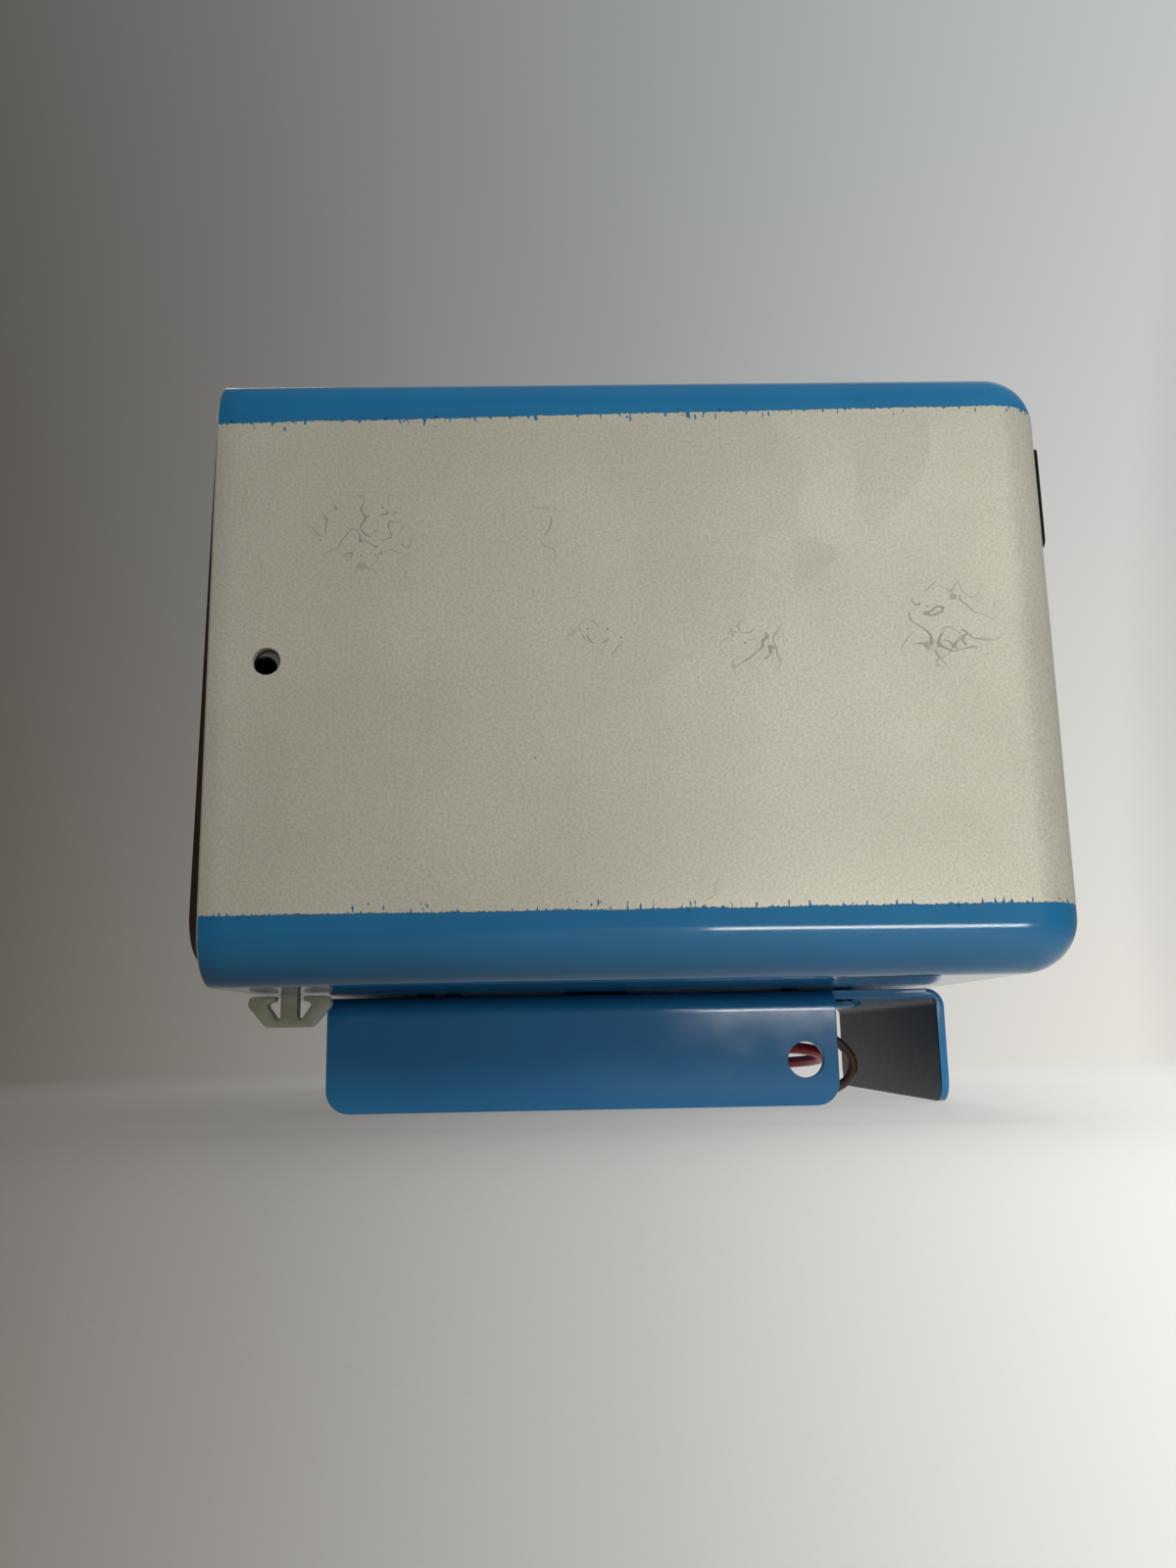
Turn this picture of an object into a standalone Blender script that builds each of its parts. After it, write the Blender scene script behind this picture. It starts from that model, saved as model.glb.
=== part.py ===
"""Wired radio control unit of a garage door opener.

A drawn steel cover with an open rear end slides over a sheet-metal chassis that carries the circuit
board. A folded bracket is riveted under the cover, and the three supply leads leave through a grommet
into the bracket's channel.

The pieces are laid out in the cover's own frame: x runs from the cover's raw rear edge to its front
end, y from its left side to its right side, z up from its underside. One empty holds them all and
puts the middle of the unit over the origin, standing on the bracket's lower edges.
"""
import math

import bmesh
import bpy
from mathutils import Vector

mm = 0.001
gap = 0.3 * mm

# cover
cover_length = 114.0 * mm
cover_width = 170.0 * mm
cover_height = 84.0 * mm
cover_radius = 7.3 * mm
cover_wall = 1.0 * mm
side_hole_radius = 1.85 * mm
side_hole_inset = 7.8 * mm
side_hole_height = cover_height / 2

# bracket
bracket_sheet = 1.4 * mm
bracket_drop = 18.0 * mm
bracket_bend = 2.9 * mm
bracket_inset = 44.5 * mm
bracket_rear = 8.4 * mm
flange_end = 89.4 * mm
bracket_front = 107.6 * mm
flange_corner = 3.7 * mm
bolt_hole_radius = 2.8 * mm
bolt_hole_x = 84.2 * mm
bolt_hole_drop = 11.2 * mm
rivet_radius = 1.6 * mm
rivet_head = 3.0 * mm
rivet_head_height = 1.2 * mm
rivet_margin = 14.0 * mm

# wiring
grommet_x = 52.0 * mm
grommet_bore = 4.2 * mm
grommet_hole = 6.3 * mm
grommet_lip = 7.8 * mm
grommet_lip_height = 1.7 * mm
red_radius = 1.0 * mm
thin_radius = 0.8 * mm

# nylon snap fastener
snap_x = 5.1 * mm
snap_y = 33.0 * mm
snap_depth = 3.0 * mm
snap_drop = 4.9 * mm
snap_span = 6.1 * mm
snap_tip = 3.6 * mm
snap_stem = 1.2 * mm
snap_hole = 1.9 * mm

# front end
plate_low = cover_height - 24.0 * mm
plate_high = cover_height - 9.0 * mm
plate_thickness = 1.0 * mm
plate_margin = 8.0 * mm
button_height = 32.0 * mm
button_radius = 4.2 * mm
button_proud = 2.4 * mm
button_travel = 2.0 * mm
bezel_radius = 8.0 * mm
bezel_height = 2.0 * mm
barrel_radius = 5.7 * mm
barrel_length = 9.0 * mm
nut_flats = 15.0 * mm
nut_height = 2.4 * mm
stem_radius = 1.5 * mm
switch_size = 13.0 * mm
switch_depth = 12.0 * mm
lens_offset = 40.0 * mm
lens_radius = 3.0 * mm
lens_flange = 4.2 * mm

# rear panel and chassis
panel_thickness = 1.2 * mm
panel_inset = 3.6 * mm
panel_corner = 6.0 * mm
panel_tilt = math.radians(0.8)
panel_stand = 0.3 * mm
chassis_sheet = 1.0 * mm
chassis_floor = 5.0 * mm
chassis_wall_height = cover_height - 24.0 * mm
chassis_front = 100.0 * mm
chassis_rear = 1.6 * mm
chassis_flange = 22.0 * mm
chassis_slip = 0.6 * mm
chassis_relief = 4.0 * mm
screw_radius = 1.4 * mm
screw_head = 2.9 * mm
screw_head_height = 1.6 * mm
panel_screw_side = 17.0 * mm
panel_screw_low = 14.0 * mm
panel_screw_high = chassis_wall_height - 6.0 * mm

# circuit board
board_rear = 12.0 * mm
board_front = 98.0 * mm
board_margin = 30.0 * mm
board_thickness = 1.6 * mm
standoff_height = 5.4 * mm
standoff_radius = 2.9 * mm
board_screw_inset = 5.0 * mm

# antenna terminal
stud_radius = 1.6 * mm
stud_length = 13.0 * mm
stud_height = cover_height - 18.0 * mm
terminal_nut_flats = 6.4 * mm

# derived places
middle_y = cover_width / 2
bracket_top = -gap
bracket_under = bracket_top - bracket_sheet
bracket_bottom = bracket_top - bracket_drop
chassis_top = chassis_floor + chassis_sheet
board_low = chassis_top + gap + standoff_height + gap
board_top = board_low + board_thickness
seat = board_top + gap
front_face = cover_length
front_extent = gap + bezel_height + button_proud
stud_rise = stud_height - cover_height / 2
rear_extent = panel_stand + stud_length * math.cos(panel_tilt) - stud_rise * math.sin(panel_tilt)
far_extent = gap + screw_head_height

finishes = {
    "blue_paint": ((0.03, 0.17, 0.33, 1), 0.15, 0.0),
    "zinc_steel": ((0.55, 0.55, 0.53, 1), 0.4, 1.0),
    "nylon": ((0.55, 0.52, 0.34, 1), 0.4, 0.0),
    "black_rubber": ((0.02, 0.02, 0.02, 1), 0.8, 0.0),
    "dark_trim": ((0.03, 0.03, 0.03, 1), 0.3, 0.0),
    "chrome": ((0.8, 0.8, 0.8, 1), 0.1, 1.0),
    "black_plastic": ((0.02, 0.02, 0.02, 1), 0.4, 0.0),
    "red_lens": ((0.5, 0.02, 0.02, 1), 0.1, 0.0),
    "brown_board": ((0.09, 0.04, 0.02, 1), 0.5, 0.0),
    "green_board": ((0.03, 0.2, 0.08, 1), 0.4, 0.0),
    "brass": ((0.7, 0.5, 0.2, 1), 0.3, 1.0),
    "copper": ((0.7, 0.3, 0.15, 1), 0.3, 1.0),
    "aluminium": ((0.7, 0.7, 0.7, 1), 0.35, 1.0),
    "ceramic": ((0.75, 0.68, 0.55, 1), 0.5, 0.0),
    "red_insulation": ((0.45, 0.02, 0.02, 1), 0.45, 0.0),
    "brown_insulation": ((0.12, 0.05, 0.02, 1), 0.45, 0.0),
    "black_insulation": ((0.02, 0.03, 0.02, 1), 0.45, 0.0),
}


def clear_scene():
    for thing in list(bpy.data.objects):
        bpy.data.objects.remove(thing, do_unlink=True)


def make_collection(name):
    group = bpy.data.collections.new(name)
    bpy.context.scene.collection.children.link(group)
    return group


def make_materials():
    made = {}
    for name, (colour, roughness, metallic) in finishes.items():
        paint = bpy.data.materials.new(name)
        paint.use_nodes = True
        shader = paint.node_tree.nodes["Principled BSDF"]
        shader.inputs["Base Color"].default_value = colour
        shader.inputs["Roughness"].default_value = roughness
        shader.inputs["Metallic"].default_value = metallic
        made[name] = paint
    return made


clear_scene()
parts = make_collection("garage_door_opener")
cutters = make_collection("cutters")
materials = make_materials()
assembly = bpy.data.objects.new("assembly", None)
parts.objects.link(assembly)


def add_object(name, data, finish, parent=None):
    """Put one sub-part in the parts collection, under the assembly or another empty."""
    thing = bpy.data.objects.new(name, data)
    if finish:
        data.materials.append(materials[finish])
        parts.objects.link(thing)
    else:
        cutters.objects.link(thing)
        thing.hide_render = True
        thing.display_type = "WIRE"
    thing.parent = parent or assembly
    return thing


def add_empty(name, location, parent=None):
    empty = bpy.data.objects.new(name, None)
    parts.objects.link(empty)
    empty.parent = parent or assembly
    empty.location = location
    return empty


def finish_mesh(name, bm, smooth_angle=35):
    bmesh.ops.recalc_face_normals(bm, faces=bm.faces)
    mesh = bpy.data.meshes.new(name)
    bm.to_mesh(mesh)
    bm.free()
    mesh.shade_smooth()
    mesh.set_sharp_from_angle(angle=math.radians(smooth_angle))
    return mesh


def block(name, low, high, finish, bevel=0.0, parent=None):
    """A box between two corners, with an optional small bevel on every edge."""
    low, high = Vector(low), Vector(high)
    bm = bmesh.new()
    bmesh.ops.create_cube(bm, size=1.0)
    bmesh.ops.scale(bm, vec=high - low, verts=bm.verts)
    bmesh.ops.translate(bm, vec=(low + high) / 2, verts=bm.verts)
    if bevel:
        bmesh.ops.bevel(bm, geom=list(bm.edges), offset=bevel, segments=2, profile=0.5, affect="EDGES")
    return add_object(name, finish_mesh(name, bm), finish, parent)


def aim(thing, place, direction):
    thing.location = place
    thing.rotation_euler = Vector(direction).to_track_quat("Z", "Y").to_euler()


def rod(name, place, direction, radius, length, finish, sides=24, parent=None):
    """A round bar that starts at place and runs along direction."""
    bm = bmesh.new()
    bmesh.ops.create_cone(bm, cap_ends=True, segments=sides, radius1=radius, radius2=radius, depth=length)
    bmesh.ops.translate(bm, vec=(0, 0, length / 2), verts=bm.verts)
    thing = add_object(name, finish_mesh(name, bm), finish, parent)
    aim(thing, place, direction)
    return thing


def turned(name, profile, place, direction, finish, steps=24, closed=False, parent=None):
    """A turned shape. The profile lists radius and height, from the top down its outer side."""
    bm = bmesh.new()
    points = [bm.verts.new((radius, 0, height)) for radius, height in profile]
    for first, second in zip(points, points[1:]):
        bm.edges.new((first, second))
    if closed:
        bm.edges.new((points[-1], points[0]))
    mesh = bpy.data.meshes.new(name)
    bm.to_mesh(mesh)
    bm.free()
    thing = add_object(name, mesh, finish, parent)
    screw = thing.modifiers.new("turn", "SCREW")
    screw.steps = steps
    screw.render_steps = steps
    screw.use_merge_vertices = True
    screw.merge_threshold = 0.00001
    screw.use_smooth_shade = False
    aim(thing, place, direction)
    return thing


def cut(thing, cutter, operation="DIFFERENCE"):
    boolean = thing.modifiers.new(cutter.name, "BOOLEAN")
    boolean.operation = operation
    boolean.solver = "EXACT"
    boolean.object = cutter


def drill(thing, name, place, direction, radius, length, sides=24, parent=None):
    """A round hole through thing, centred on place."""
    start = Vector(place) - Vector(direction).normalized() * length / 2
    cut(thing, rod(f"{name}_cutter", start, direction, radius, length, None, sides, parent))


def arc(centre, radius, start, end, steps):
    """Points on a circle in a plane, between two angles in degrees."""
    for step in range(steps + 1):
        angle = math.radians(start + (end - start) * step / steps)
        yield centre[0] + radius * math.cos(angle), centre[1] + radius * math.sin(angle)


def smooth_route(points, spacing):
    """Points about one spacing apart on a smooth curve through the given ones."""
    nodes = [Vector(point) * mm for point in points]
    ends = [2 * nodes[0] - nodes[1]] + nodes + [2 * nodes[-1] - nodes[-2]]
    route = [nodes[0]]
    for before, start, end, after in zip(ends, ends[1:], ends[2:], ends[3:]):
        count = max(1, round((end - start).length / spacing))
        for step in range(1, count + 1):
            t = step / count
            bend = (2 * before - 5 * start + 4 * end - after) * t ** 2
            ease = (3 * start - before - 3 * end + after) * t ** 3
            route.append((2 * start + (end - before) * t + bend + ease) / 2)
    return route


def wire(name, route, radius, finish, roundness=2):
    """A round wire along a route, with closed ends."""
    curve = bpy.data.curves.new(name, "CURVE")
    curve.dimensions = "3D"
    curve.bevel_depth = radius
    curve.bevel_resolution = roundness
    curve.use_fill_caps = True
    spline = curve.splines.new("POLY")
    spline.points.add(len(route) - 1)
    for point, place in zip(spline.points, route):
        point.co = (*place, 1)
    return add_object(name, curve, finish)


def build_cover():
    bm = bmesh.new()
    size = Vector((cover_length, cover_width, cover_height))
    bmesh.ops.create_cube(bm, size=1.0)
    bmesh.ops.scale(bm, vec=size, verts=bm.verts)
    bmesh.ops.translate(bm, vec=size / 2, verts=bm.verts)
    rounded = [edge for edge in bm.edges if max(vert.co.x for vert in edge.verts) > cover_length / 2]
    bmesh.ops.bevel(bm, geom=rounded, offset=cover_radius, segments=6, profile=0.5, affect="EDGES")
    rear = [face for face in bm.faces if all(vert.co.x < cover_length * 0.001 for vert in face.verts)]
    bmesh.ops.delete(bm, geom=rear, context="FACES_ONLY")
    cover = add_object("cover", finish_mesh("cover", bm), "blue_paint")
    shell = cover.modifiers.new("wall", "SOLIDIFY")
    shell.thickness = cover_wall
    shell.offset = -1
    shell.use_even_offset = True
    through = 6 * cover_wall
    for side, y in (("left", 0), ("right", cover_width)):
        place = (side_hole_inset, y, side_hole_height)
        drill(cover, f"side_hole_{side}", place, (0, 1, 0), side_hole_radius, through)
    drill(cover, "wire_hole", (grommet_x, middle_y, 0), (0, 0, 1), grommet_hole, through)
    drill(cover, "snap_hole", (snap_x, snap_y, 0), (0, 0, 1), snap_hole, through)
    for number, (x, y) in enumerate(rivet_places(), 1):
        drill(cover, f"cover_rivet_{number}", (x, y, 0), (0, 0, 1), rivet_radius + gap, through, 16)
    button_place = (front_face, middle_y, button_height)
    drill(cover, "button_hole", button_place, (1, 0, 0), barrel_radius + gap, through)
    lens_place = (front_face, middle_y + lens_offset, button_height)
    drill(cover, "lens_hole", lens_place, (1, 0, 0), lens_radius + gap, through)


def rivet_places():
    near = bracket_inset + rivet_margin
    for x in (bracket_rear + rivet_margin, bracket_front - rivet_margin):
        for y in (near, cover_width - near):
            yield x, y


def runs_along(edge, axis):
    along = (edge.verts[0].co - edge.verts[1].co).normalized()
    return abs(along[axis]) > 0.9


def extrude_edges(bm, edges, points, axis):
    """Sweep edges through points given as offsets from the start, keeping them parallel."""
    made = list(edges)
    place = Vector((0, 0, 0))
    for point in points:
        step = Vector(point) - place
        place = Vector(point)
        result = bmesh.ops.extrude_edge_only(bm, edges=made)
        verts = [item for item in result["geom"] if isinstance(item, bmesh.types.BMVert)]
        bmesh.ops.translate(bm, vec=step, verts=verts)
        made = [item for item in result["geom"] if isinstance(item, bmesh.types.BMEdge)]
        made = [edge for edge in made if runs_along(edge, axis)]
    return made


def folded_down(across, radius, drop):
    """Offsets of a sheet edge that turns down through a bend and runs to its lower edge."""
    points = []
    for step in range(1, 6):
        angle = math.radians(90 * step / 5)
        fall = Vector((0, 0, radius * (1 - math.cos(angle))))
        points.append(Vector(across) * radius * math.sin(angle) - fall)
    points.append(points[-1] - Vector((0, 0, drop - radius)))
    return points


def build_bracket():
    bm = bmesh.new()
    low_y = bracket_inset + bracket_bend
    high_y = cover_width - low_y
    corners = [(bracket_rear, low_y), (flange_end, low_y), (flange_end, high_y), (bracket_rear, high_y)]
    verts = [bm.verts.new((x, y, bracket_top)) for x, y in corners]
    base = bm.faces.new(verts)
    near, front, far, _ = base.edges
    nose = bracket_front - bracket_bend - flange_end
    edge = extrude_edges(bm, [front], [(nose, 0, 0)], 1)
    extrude_edges(bm, edge, folded_down((1, 0, 0), bracket_bend, bracket_drop), 1)
    extrude_edges(bm, [near], folded_down((0, -1, 0), bracket_bend, bracket_drop), 0)
    extrude_edges(bm, [far], folded_down((0, 1, 0), bracket_bend, bracket_drop), 0)
    tips = [vert for vert in bm.verts if vert.co.z < bracket_bottom + gap]
    bmesh.ops.bevel(bm, geom=tips, offset=flange_corner, segments=5, profile=0.5, affect="VERTICES")
    bracket = add_object("bracket", finish_mesh("bracket", bm), "blue_paint")
    sheet = bracket.modifiers.new("sheet", "SOLIDIFY")
    sheet.thickness = bracket_sheet
    sheet.offset = -1
    sheet.use_even_offset = True
    through = 4 * bracket_sheet
    for side, y in (("left", bracket_inset), ("right", cover_width - bracket_inset)):
        place = (bolt_hole_x, y, -bolt_hole_drop)
        drill(bracket, f"bolt_hole_{side}", place, (0, 1, 0), bolt_hole_radius, through)
    wire_hole = (grommet_x, middle_y, bracket_top)
    drill(bracket, "bracket_wire_hole", wire_hole, (0, 0, 1), grommet_hole, through)
    for number, (x, y) in enumerate(rivet_places(), 1):
        place = (x, y, bracket_top)
        drill(bracket, f"bracket_rivet_hole_{number}", place, (0, 0, 1), rivet_radius + gap, through, 16)


def build_rivets():
    top = cover_wall + gap
    bottom = bracket_under - gap
    profile = [
        (0, top + rivet_head_height),
        (rivet_head * 0.6, top + rivet_head_height),
        (rivet_head * 0.9, top),
        (rivet_radius, top),
        (rivet_radius, bottom),
        (rivet_head, bottom),
        (rivet_head * 0.75, bottom - rivet_head_height * 0.8),
        (0, bottom - rivet_head_height),
    ]
    for number, (x, y) in enumerate(rivet_places(), 1):
        turned(f"bracket_rivet_{number}", profile, (x, y, 0), (0, 0, 1), "blue_paint", 16)


def build_grommet():
    top = cover_wall + gap
    bottom = bracket_under - gap
    neck = grommet_hole - gap
    half = grommet_lip_height * 0.35
    profile = [
        (grommet_bore, top + grommet_lip_height - half),
        (grommet_bore + half, top + grommet_lip_height),
        (grommet_lip - half, top + grommet_lip_height),
        (grommet_lip, top + half),
        (grommet_lip, top),
        (neck, top),
        (neck, bottom),
        (grommet_lip, bottom),
        (grommet_lip, bottom - half),
        (grommet_lip - half, bottom - grommet_lip_height),
        (grommet_bore + half, bottom - grommet_lip_height),
        (grommet_bore, bottom - grommet_lip_height + half),
    ]
    place = (grommet_x, middle_y, 0)
    turned("wire_grommet", profile, place, (0, 0, 1), "black_rubber", 24, closed=True)


def build_snap_fastener():
    """An arrow-headed nylon clip: a stem, a flat tip and two wings that spring back up."""
    outline = [
        (-snap_tip, -snap_drop),
        (snap_tip, -snap_drop),
        (snap_span, -1.6 * mm),
        (snap_span - 0.4 * mm, -gap),
        (snap_span - 2.6 * mm, -gap - 0.1 * mm),
        (snap_span - 2.9 * mm, -1.5 * mm),
        (snap_stem + 0.55 * mm, -snap_drop + 1.1 * mm),
        (snap_stem, -snap_drop + 1.3 * mm),
        (snap_stem, cover_wall + gap),
        (-snap_stem, cover_wall + gap),
        (-snap_stem, -snap_drop + 1.3 * mm),
        (-snap_stem - 0.55 * mm, -snap_drop + 1.1 * mm),
        (-snap_span + 2.9 * mm, -1.5 * mm),
        (-snap_span + 2.6 * mm, -gap - 0.1 * mm),
        (-snap_span + 0.4 * mm, -gap),
        (-snap_span, -1.6 * mm),
    ]
    bm = bmesh.new()
    face = bm.faces.new([bm.verts.new((x, -snap_depth / 2, z)) for x, z in outline])
    pushed = bmesh.ops.extrude_face_region(bm, geom=[face])
    verts = [item for item in pushed["geom"] if isinstance(item, bmesh.types.BMVert)]
    bmesh.ops.translate(bm, vec=(0, snap_depth, 0), verts=verts)
    snap = add_object("snap_fastener", finish_mesh("snap_fastener", bm), "nylon")
    snap.location = (snap_x, snap_y, 0)
    head_place = (snap_x, snap_y, cover_wall + gap - 0.05 * mm)
    head = rod("snap_head", head_place, (0, 0, 1), 3.0 * mm, 1.4 * mm, None)
    cut(snap, head, "UNION")


def build_front():
    face = front_face + gap
    plate_far = cover_width - plate_margin
    block(
        "front_nameplate",
        (face, plate_margin, plate_low),
        (face + plate_thickness, plate_far, plate_high),
        "dark_trim",
    )
    button_place = (front_face, middle_y, button_height)
    forward = (1, 0, 0)
    back = -barrel_length
    bore = button_radius + gap
    bezel = [
        (bore, gap + bezel_height),
        (bezel_radius - 0.8 * mm, gap + bezel_height),
        (bezel_radius, gap + bezel_height * 0.6),
        (bezel_radius, gap),
        (barrel_radius, gap),
        (barrel_radius, back),
        (bore, back),
    ]
    turned("button_bezel", bezel, button_place, forward, "chrome", 32, closed=True)
    top = gap + bezel_height + button_proud
    foot = -3.2 * mm
    stem_end = back - 3.0 * mm
    cap = [
        (0, top),
        (button_radius * 0.6, top - 0.15 * mm),
        (button_radius * 0.9, top - 0.5 * mm),
        (button_radius, top - 1.2 * mm),
        (button_radius, foot),
        (stem_radius, foot),
        (stem_radius, stem_end),
        (0, stem_end),
    ]
    holder = add_empty("button_axis", button_place)
    turned("push_button", cap, (0, 0, 0), forward, "black_plastic", 32, parent=holder)
    spring_start = foot - gap
    spring_end = back - gap
    coils = 3.5
    wire_radius = 0.25 * mm
    run = spring_start - spring_end - 2 * wire_radius - gap
    route = []
    steps = 36
    for step in range(steps + 1):
        turn = 2 * math.pi * coils * step / steps
        x = front_face + spring_start - wire_radius - run * step / steps
        radius = stem_radius + gap + 2 * wire_radius
        route.append((x, middle_y + radius * math.cos(turn), button_height + radius * math.sin(turn)))
    wire("button_spring", route, wire_radius, "zinc_steel", 1)
    nut_place = (front_face - cover_wall - gap - nut_height, middle_y, button_height)
    nut_radius = nut_flats / math.sqrt(3)
    nut = rod("bezel_nut", nut_place, forward, nut_radius, nut_height, "zinc_steel", 6)
    drill(nut, "nut_bore", nut_place, forward, barrel_radius + gap, 4 * nut_height)
    half = switch_size / 2
    switch_front = front_face + back - gap
    switch_back = switch_front - switch_depth
    body = block(
        "switch_body",
        (switch_back, middle_y - half, button_height - half),
        (switch_front, middle_y + half, button_height + half),
        "black_plastic",
        0.6 * mm,
    )
    depth = 3.0 * mm + button_travel + gap
    bore_middle = (switch_front, middle_y, button_height)
    drill(body, "switch_bore", bore_middle, forward, stem_radius + gap, 2 * depth)
    for number, side in enumerate((-1, 1), 1):
        y = middle_y + side * 3.5 * mm
        block(
            f"switch_terminal_{number}",
            (switch_back - gap - 5.0 * mm, y - 1.3 * mm, button_height - 0.4 * mm),
            (switch_back - gap, y + 1.3 * mm, button_height + 0.4 * mm),
            "brass",
        )
    lens_place = (front_face, middle_y + lens_offset, button_height)
    lens_back = -cover_wall - 4.5 * mm
    lens = [
        (0, gap + 2.4 * mm),
        (lens_flange * 0.5, gap + 2.0 * mm),
        (lens_flange * 0.85, gap + 1.0 * mm),
        (lens_flange, gap),
        (lens_radius, gap),
        (lens_radius, lens_back),
        (0, lens_back),
    ]
    turned("indicator_lens", lens, lens_place, forward, "red_lens", 24)
    clip_top = -cover_wall - gap
    clip = [
        (lens_radius + gap, clip_top),
        (lens_radius + 2.2 * mm, clip_top),
        (lens_radius + 2.2 * mm, clip_top - 1.0 * mm),
        (lens_radius + gap, clip_top - 1.0 * mm),
    ]
    turned("lens_clip", clip, lens_place, forward, "zinc_steel", 24, closed=True)


def rounded_plate(name, low, high, radius, thickness, finish, parent):
    """A plate in the yz plane with round corners, its outer face at x = -thickness."""
    bm = bmesh.new()
    corners = (low, (high[0], low[1]), high, (low[0], high[1]))
    bm.faces.new([bm.verts.new((0, y, z)) for y, z in corners])
    bmesh.ops.bevel(bm, geom=list(bm.verts), offset=radius, segments=5, profile=0.5, affect="VERTICES")
    pushed = bmesh.ops.extrude_face_region(bm, geom=list(bm.faces))
    moved = [item for item in pushed["geom"] if isinstance(item, bmesh.types.BMVert)]
    bmesh.ops.translate(bm, vec=(-thickness, 0, 0), verts=moved)
    return add_object(name, finish_mesh(name, bm), finish, parent)


def pan_screw(name, place, direction, length, parent=None):
    """A pan-head screw whose head seats at place and whose shank runs back along direction."""
    profile = [
        (0, screw_head_height),
        (screw_head * 0.6, screw_head_height * 0.95),
        (screw_head, screw_head_height * 0.45),
        (screw_head, 0),
        (screw_radius, 0),
        (screw_radius, -length),
        (0, -length),
    ]
    turned(name, profile, place, direction, "zinc_steel", 16, parent=parent)


def panel_screw_places():
    for y in (panel_screw_side, cover_width - panel_screw_side):
        for z in (panel_screw_low, panel_screw_high):
            yield y, z


def build_rear():
    middle = cover_height / 2
    hinge = add_empty("rear_tilt", (-panel_stand, middle_y, middle))
    hinge.rotation_euler = (0, panel_tilt, 0)
    half_y = middle_y - panel_inset
    half_z = middle - panel_inset
    low = (-half_y, -half_z)
    high = (half_y, half_z)
    panel = rounded_plate("rear_panel", low, high, panel_corner, panel_thickness, "brown_board", hinge)
    rearward = (-1, 0, 0)
    panel_through = 6 * panel_thickness
    for number, (y, z) in enumerate(panel_screw_places(), 1):
        place = (0, y - middle_y, z - middle)
        drill(panel, f"panel_hole_{number}", place, rearward, screw_radius + gap, panel_through, 16, hinge)
        seated = (-panel_thickness - gap, y - middle_y, z - middle)
        pan_screw(f"panel_screw_{number}", seated, rearward, 8.0 * mm, hinge)
    stud_z = stud_rise
    drill(panel, "stud_hole", (0, 0, stud_z), rearward, stud_radius + gap, panel_through, 16, hinge)
    inner = 4.0 * mm
    stud = [
        (0, stud_length),
        (stud_radius * 0.7, stud_length),
        (stud_radius, stud_length - 0.6 * mm),
        (stud_radius, -gap),
        (2.6 * stud_radius, -gap),
        (2.6 * stud_radius, -inner),
        (0, -inner),
    ]
    turned("antenna_stud", stud, (0, 0, stud_z), rearward, "brass", 16, parent=hinge)
    start = (-panel_thickness - gap, 0, stud_z)
    nut_radius = terminal_nut_flats / math.sqrt(3)
    nut = rod("antenna_nut", start, rearward, nut_radius, 2.6 * mm, "brass", 6, hinge)
    drill(nut, "antenna_nut_bore", start, rearward, stud_radius + gap, 12.0 * mm, 16, hinge)


def build_chassis():
    """A folded tray: a floor, two walls that lie inside the cover and two rear flanges."""
    bm = bmesh.new()
    low_y = cover_wall + chassis_slip
    high_y = cover_width - low_y
    corners = (
        (chassis_rear, low_y),
        (chassis_front, low_y),
        (chassis_front, high_y),
        (chassis_rear, high_y),
    )
    floor = bm.faces.new([bm.verts.new((x, y, chassis_floor)) for x, y in corners])
    near, _, far, _ = floor.edges
    relief = (0, 0, chassis_relief)
    rise = (0, 0, chassis_wall_height - chassis_floor - chassis_relief)
    for edge, inward in ((near, chassis_flange), (far, -chassis_flange)):
        raised = extrude_edges(bm, [edge], [relief], 0)
        before = set(bm.edges)
        extrude_edges(bm, raised, [rise], 0)
        added = [item for item in bm.edges if item not in before]
        rear = [item for item in added if all(vert.co.x < chassis_rear + gap for vert in item.verts)]
        extrude_edges(bm, rear, [(0, inward, 0)], 2)
    chassis = add_object("chassis", finish_mesh("chassis", bm), "zinc_steel")
    sheet = chassis.modifiers.new("sheet", "SOLIDIFY")
    sheet.thickness = chassis_sheet
    sheet.offset = -1
    sheet.use_even_offset = True
    through = 8 * chassis_sheet
    hole_x = side_hole_inset - 0.6 * mm
    hole_z = side_hole_height - 0.5 * mm
    for side, y in (("left", low_y), ("right", high_y)):
        offset = 0 if side == "left" else 1
        place = (hole_x + offset * 0.6 * mm, y, hole_z + offset * 0.5 * mm)
        drill(chassis, f"tab_hole_{side}", place, (0, 1, 0), screw_radius + gap, through, 16)
    for number, (y, z) in enumerate(panel_screw_places(), 1):
        place = (chassis_rear, y, z)
        drill(chassis, f"flange_hole_{number}", place, (1, 0, 0), screw_radius + 2 * gap, through, 16)
    floor_hole = (grommet_x, middle_y, chassis_floor)
    drill(chassis, "floor_hole", floor_hole, (0, 0, 1), grommet_lip + 3 * gap, through)
    screw_place = (side_hole_inset, cover_width + gap, side_hole_height)
    pan_screw("cover_screw", screw_place, (0, 1, 0), 7.0 * mm)


def board_screw_places():
    for x in (board_rear + board_screw_inset, board_front - board_screw_inset):
        for y in (board_margin + board_screw_inset, cover_width - board_margin - board_screw_inset):
            yield x, y


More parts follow.
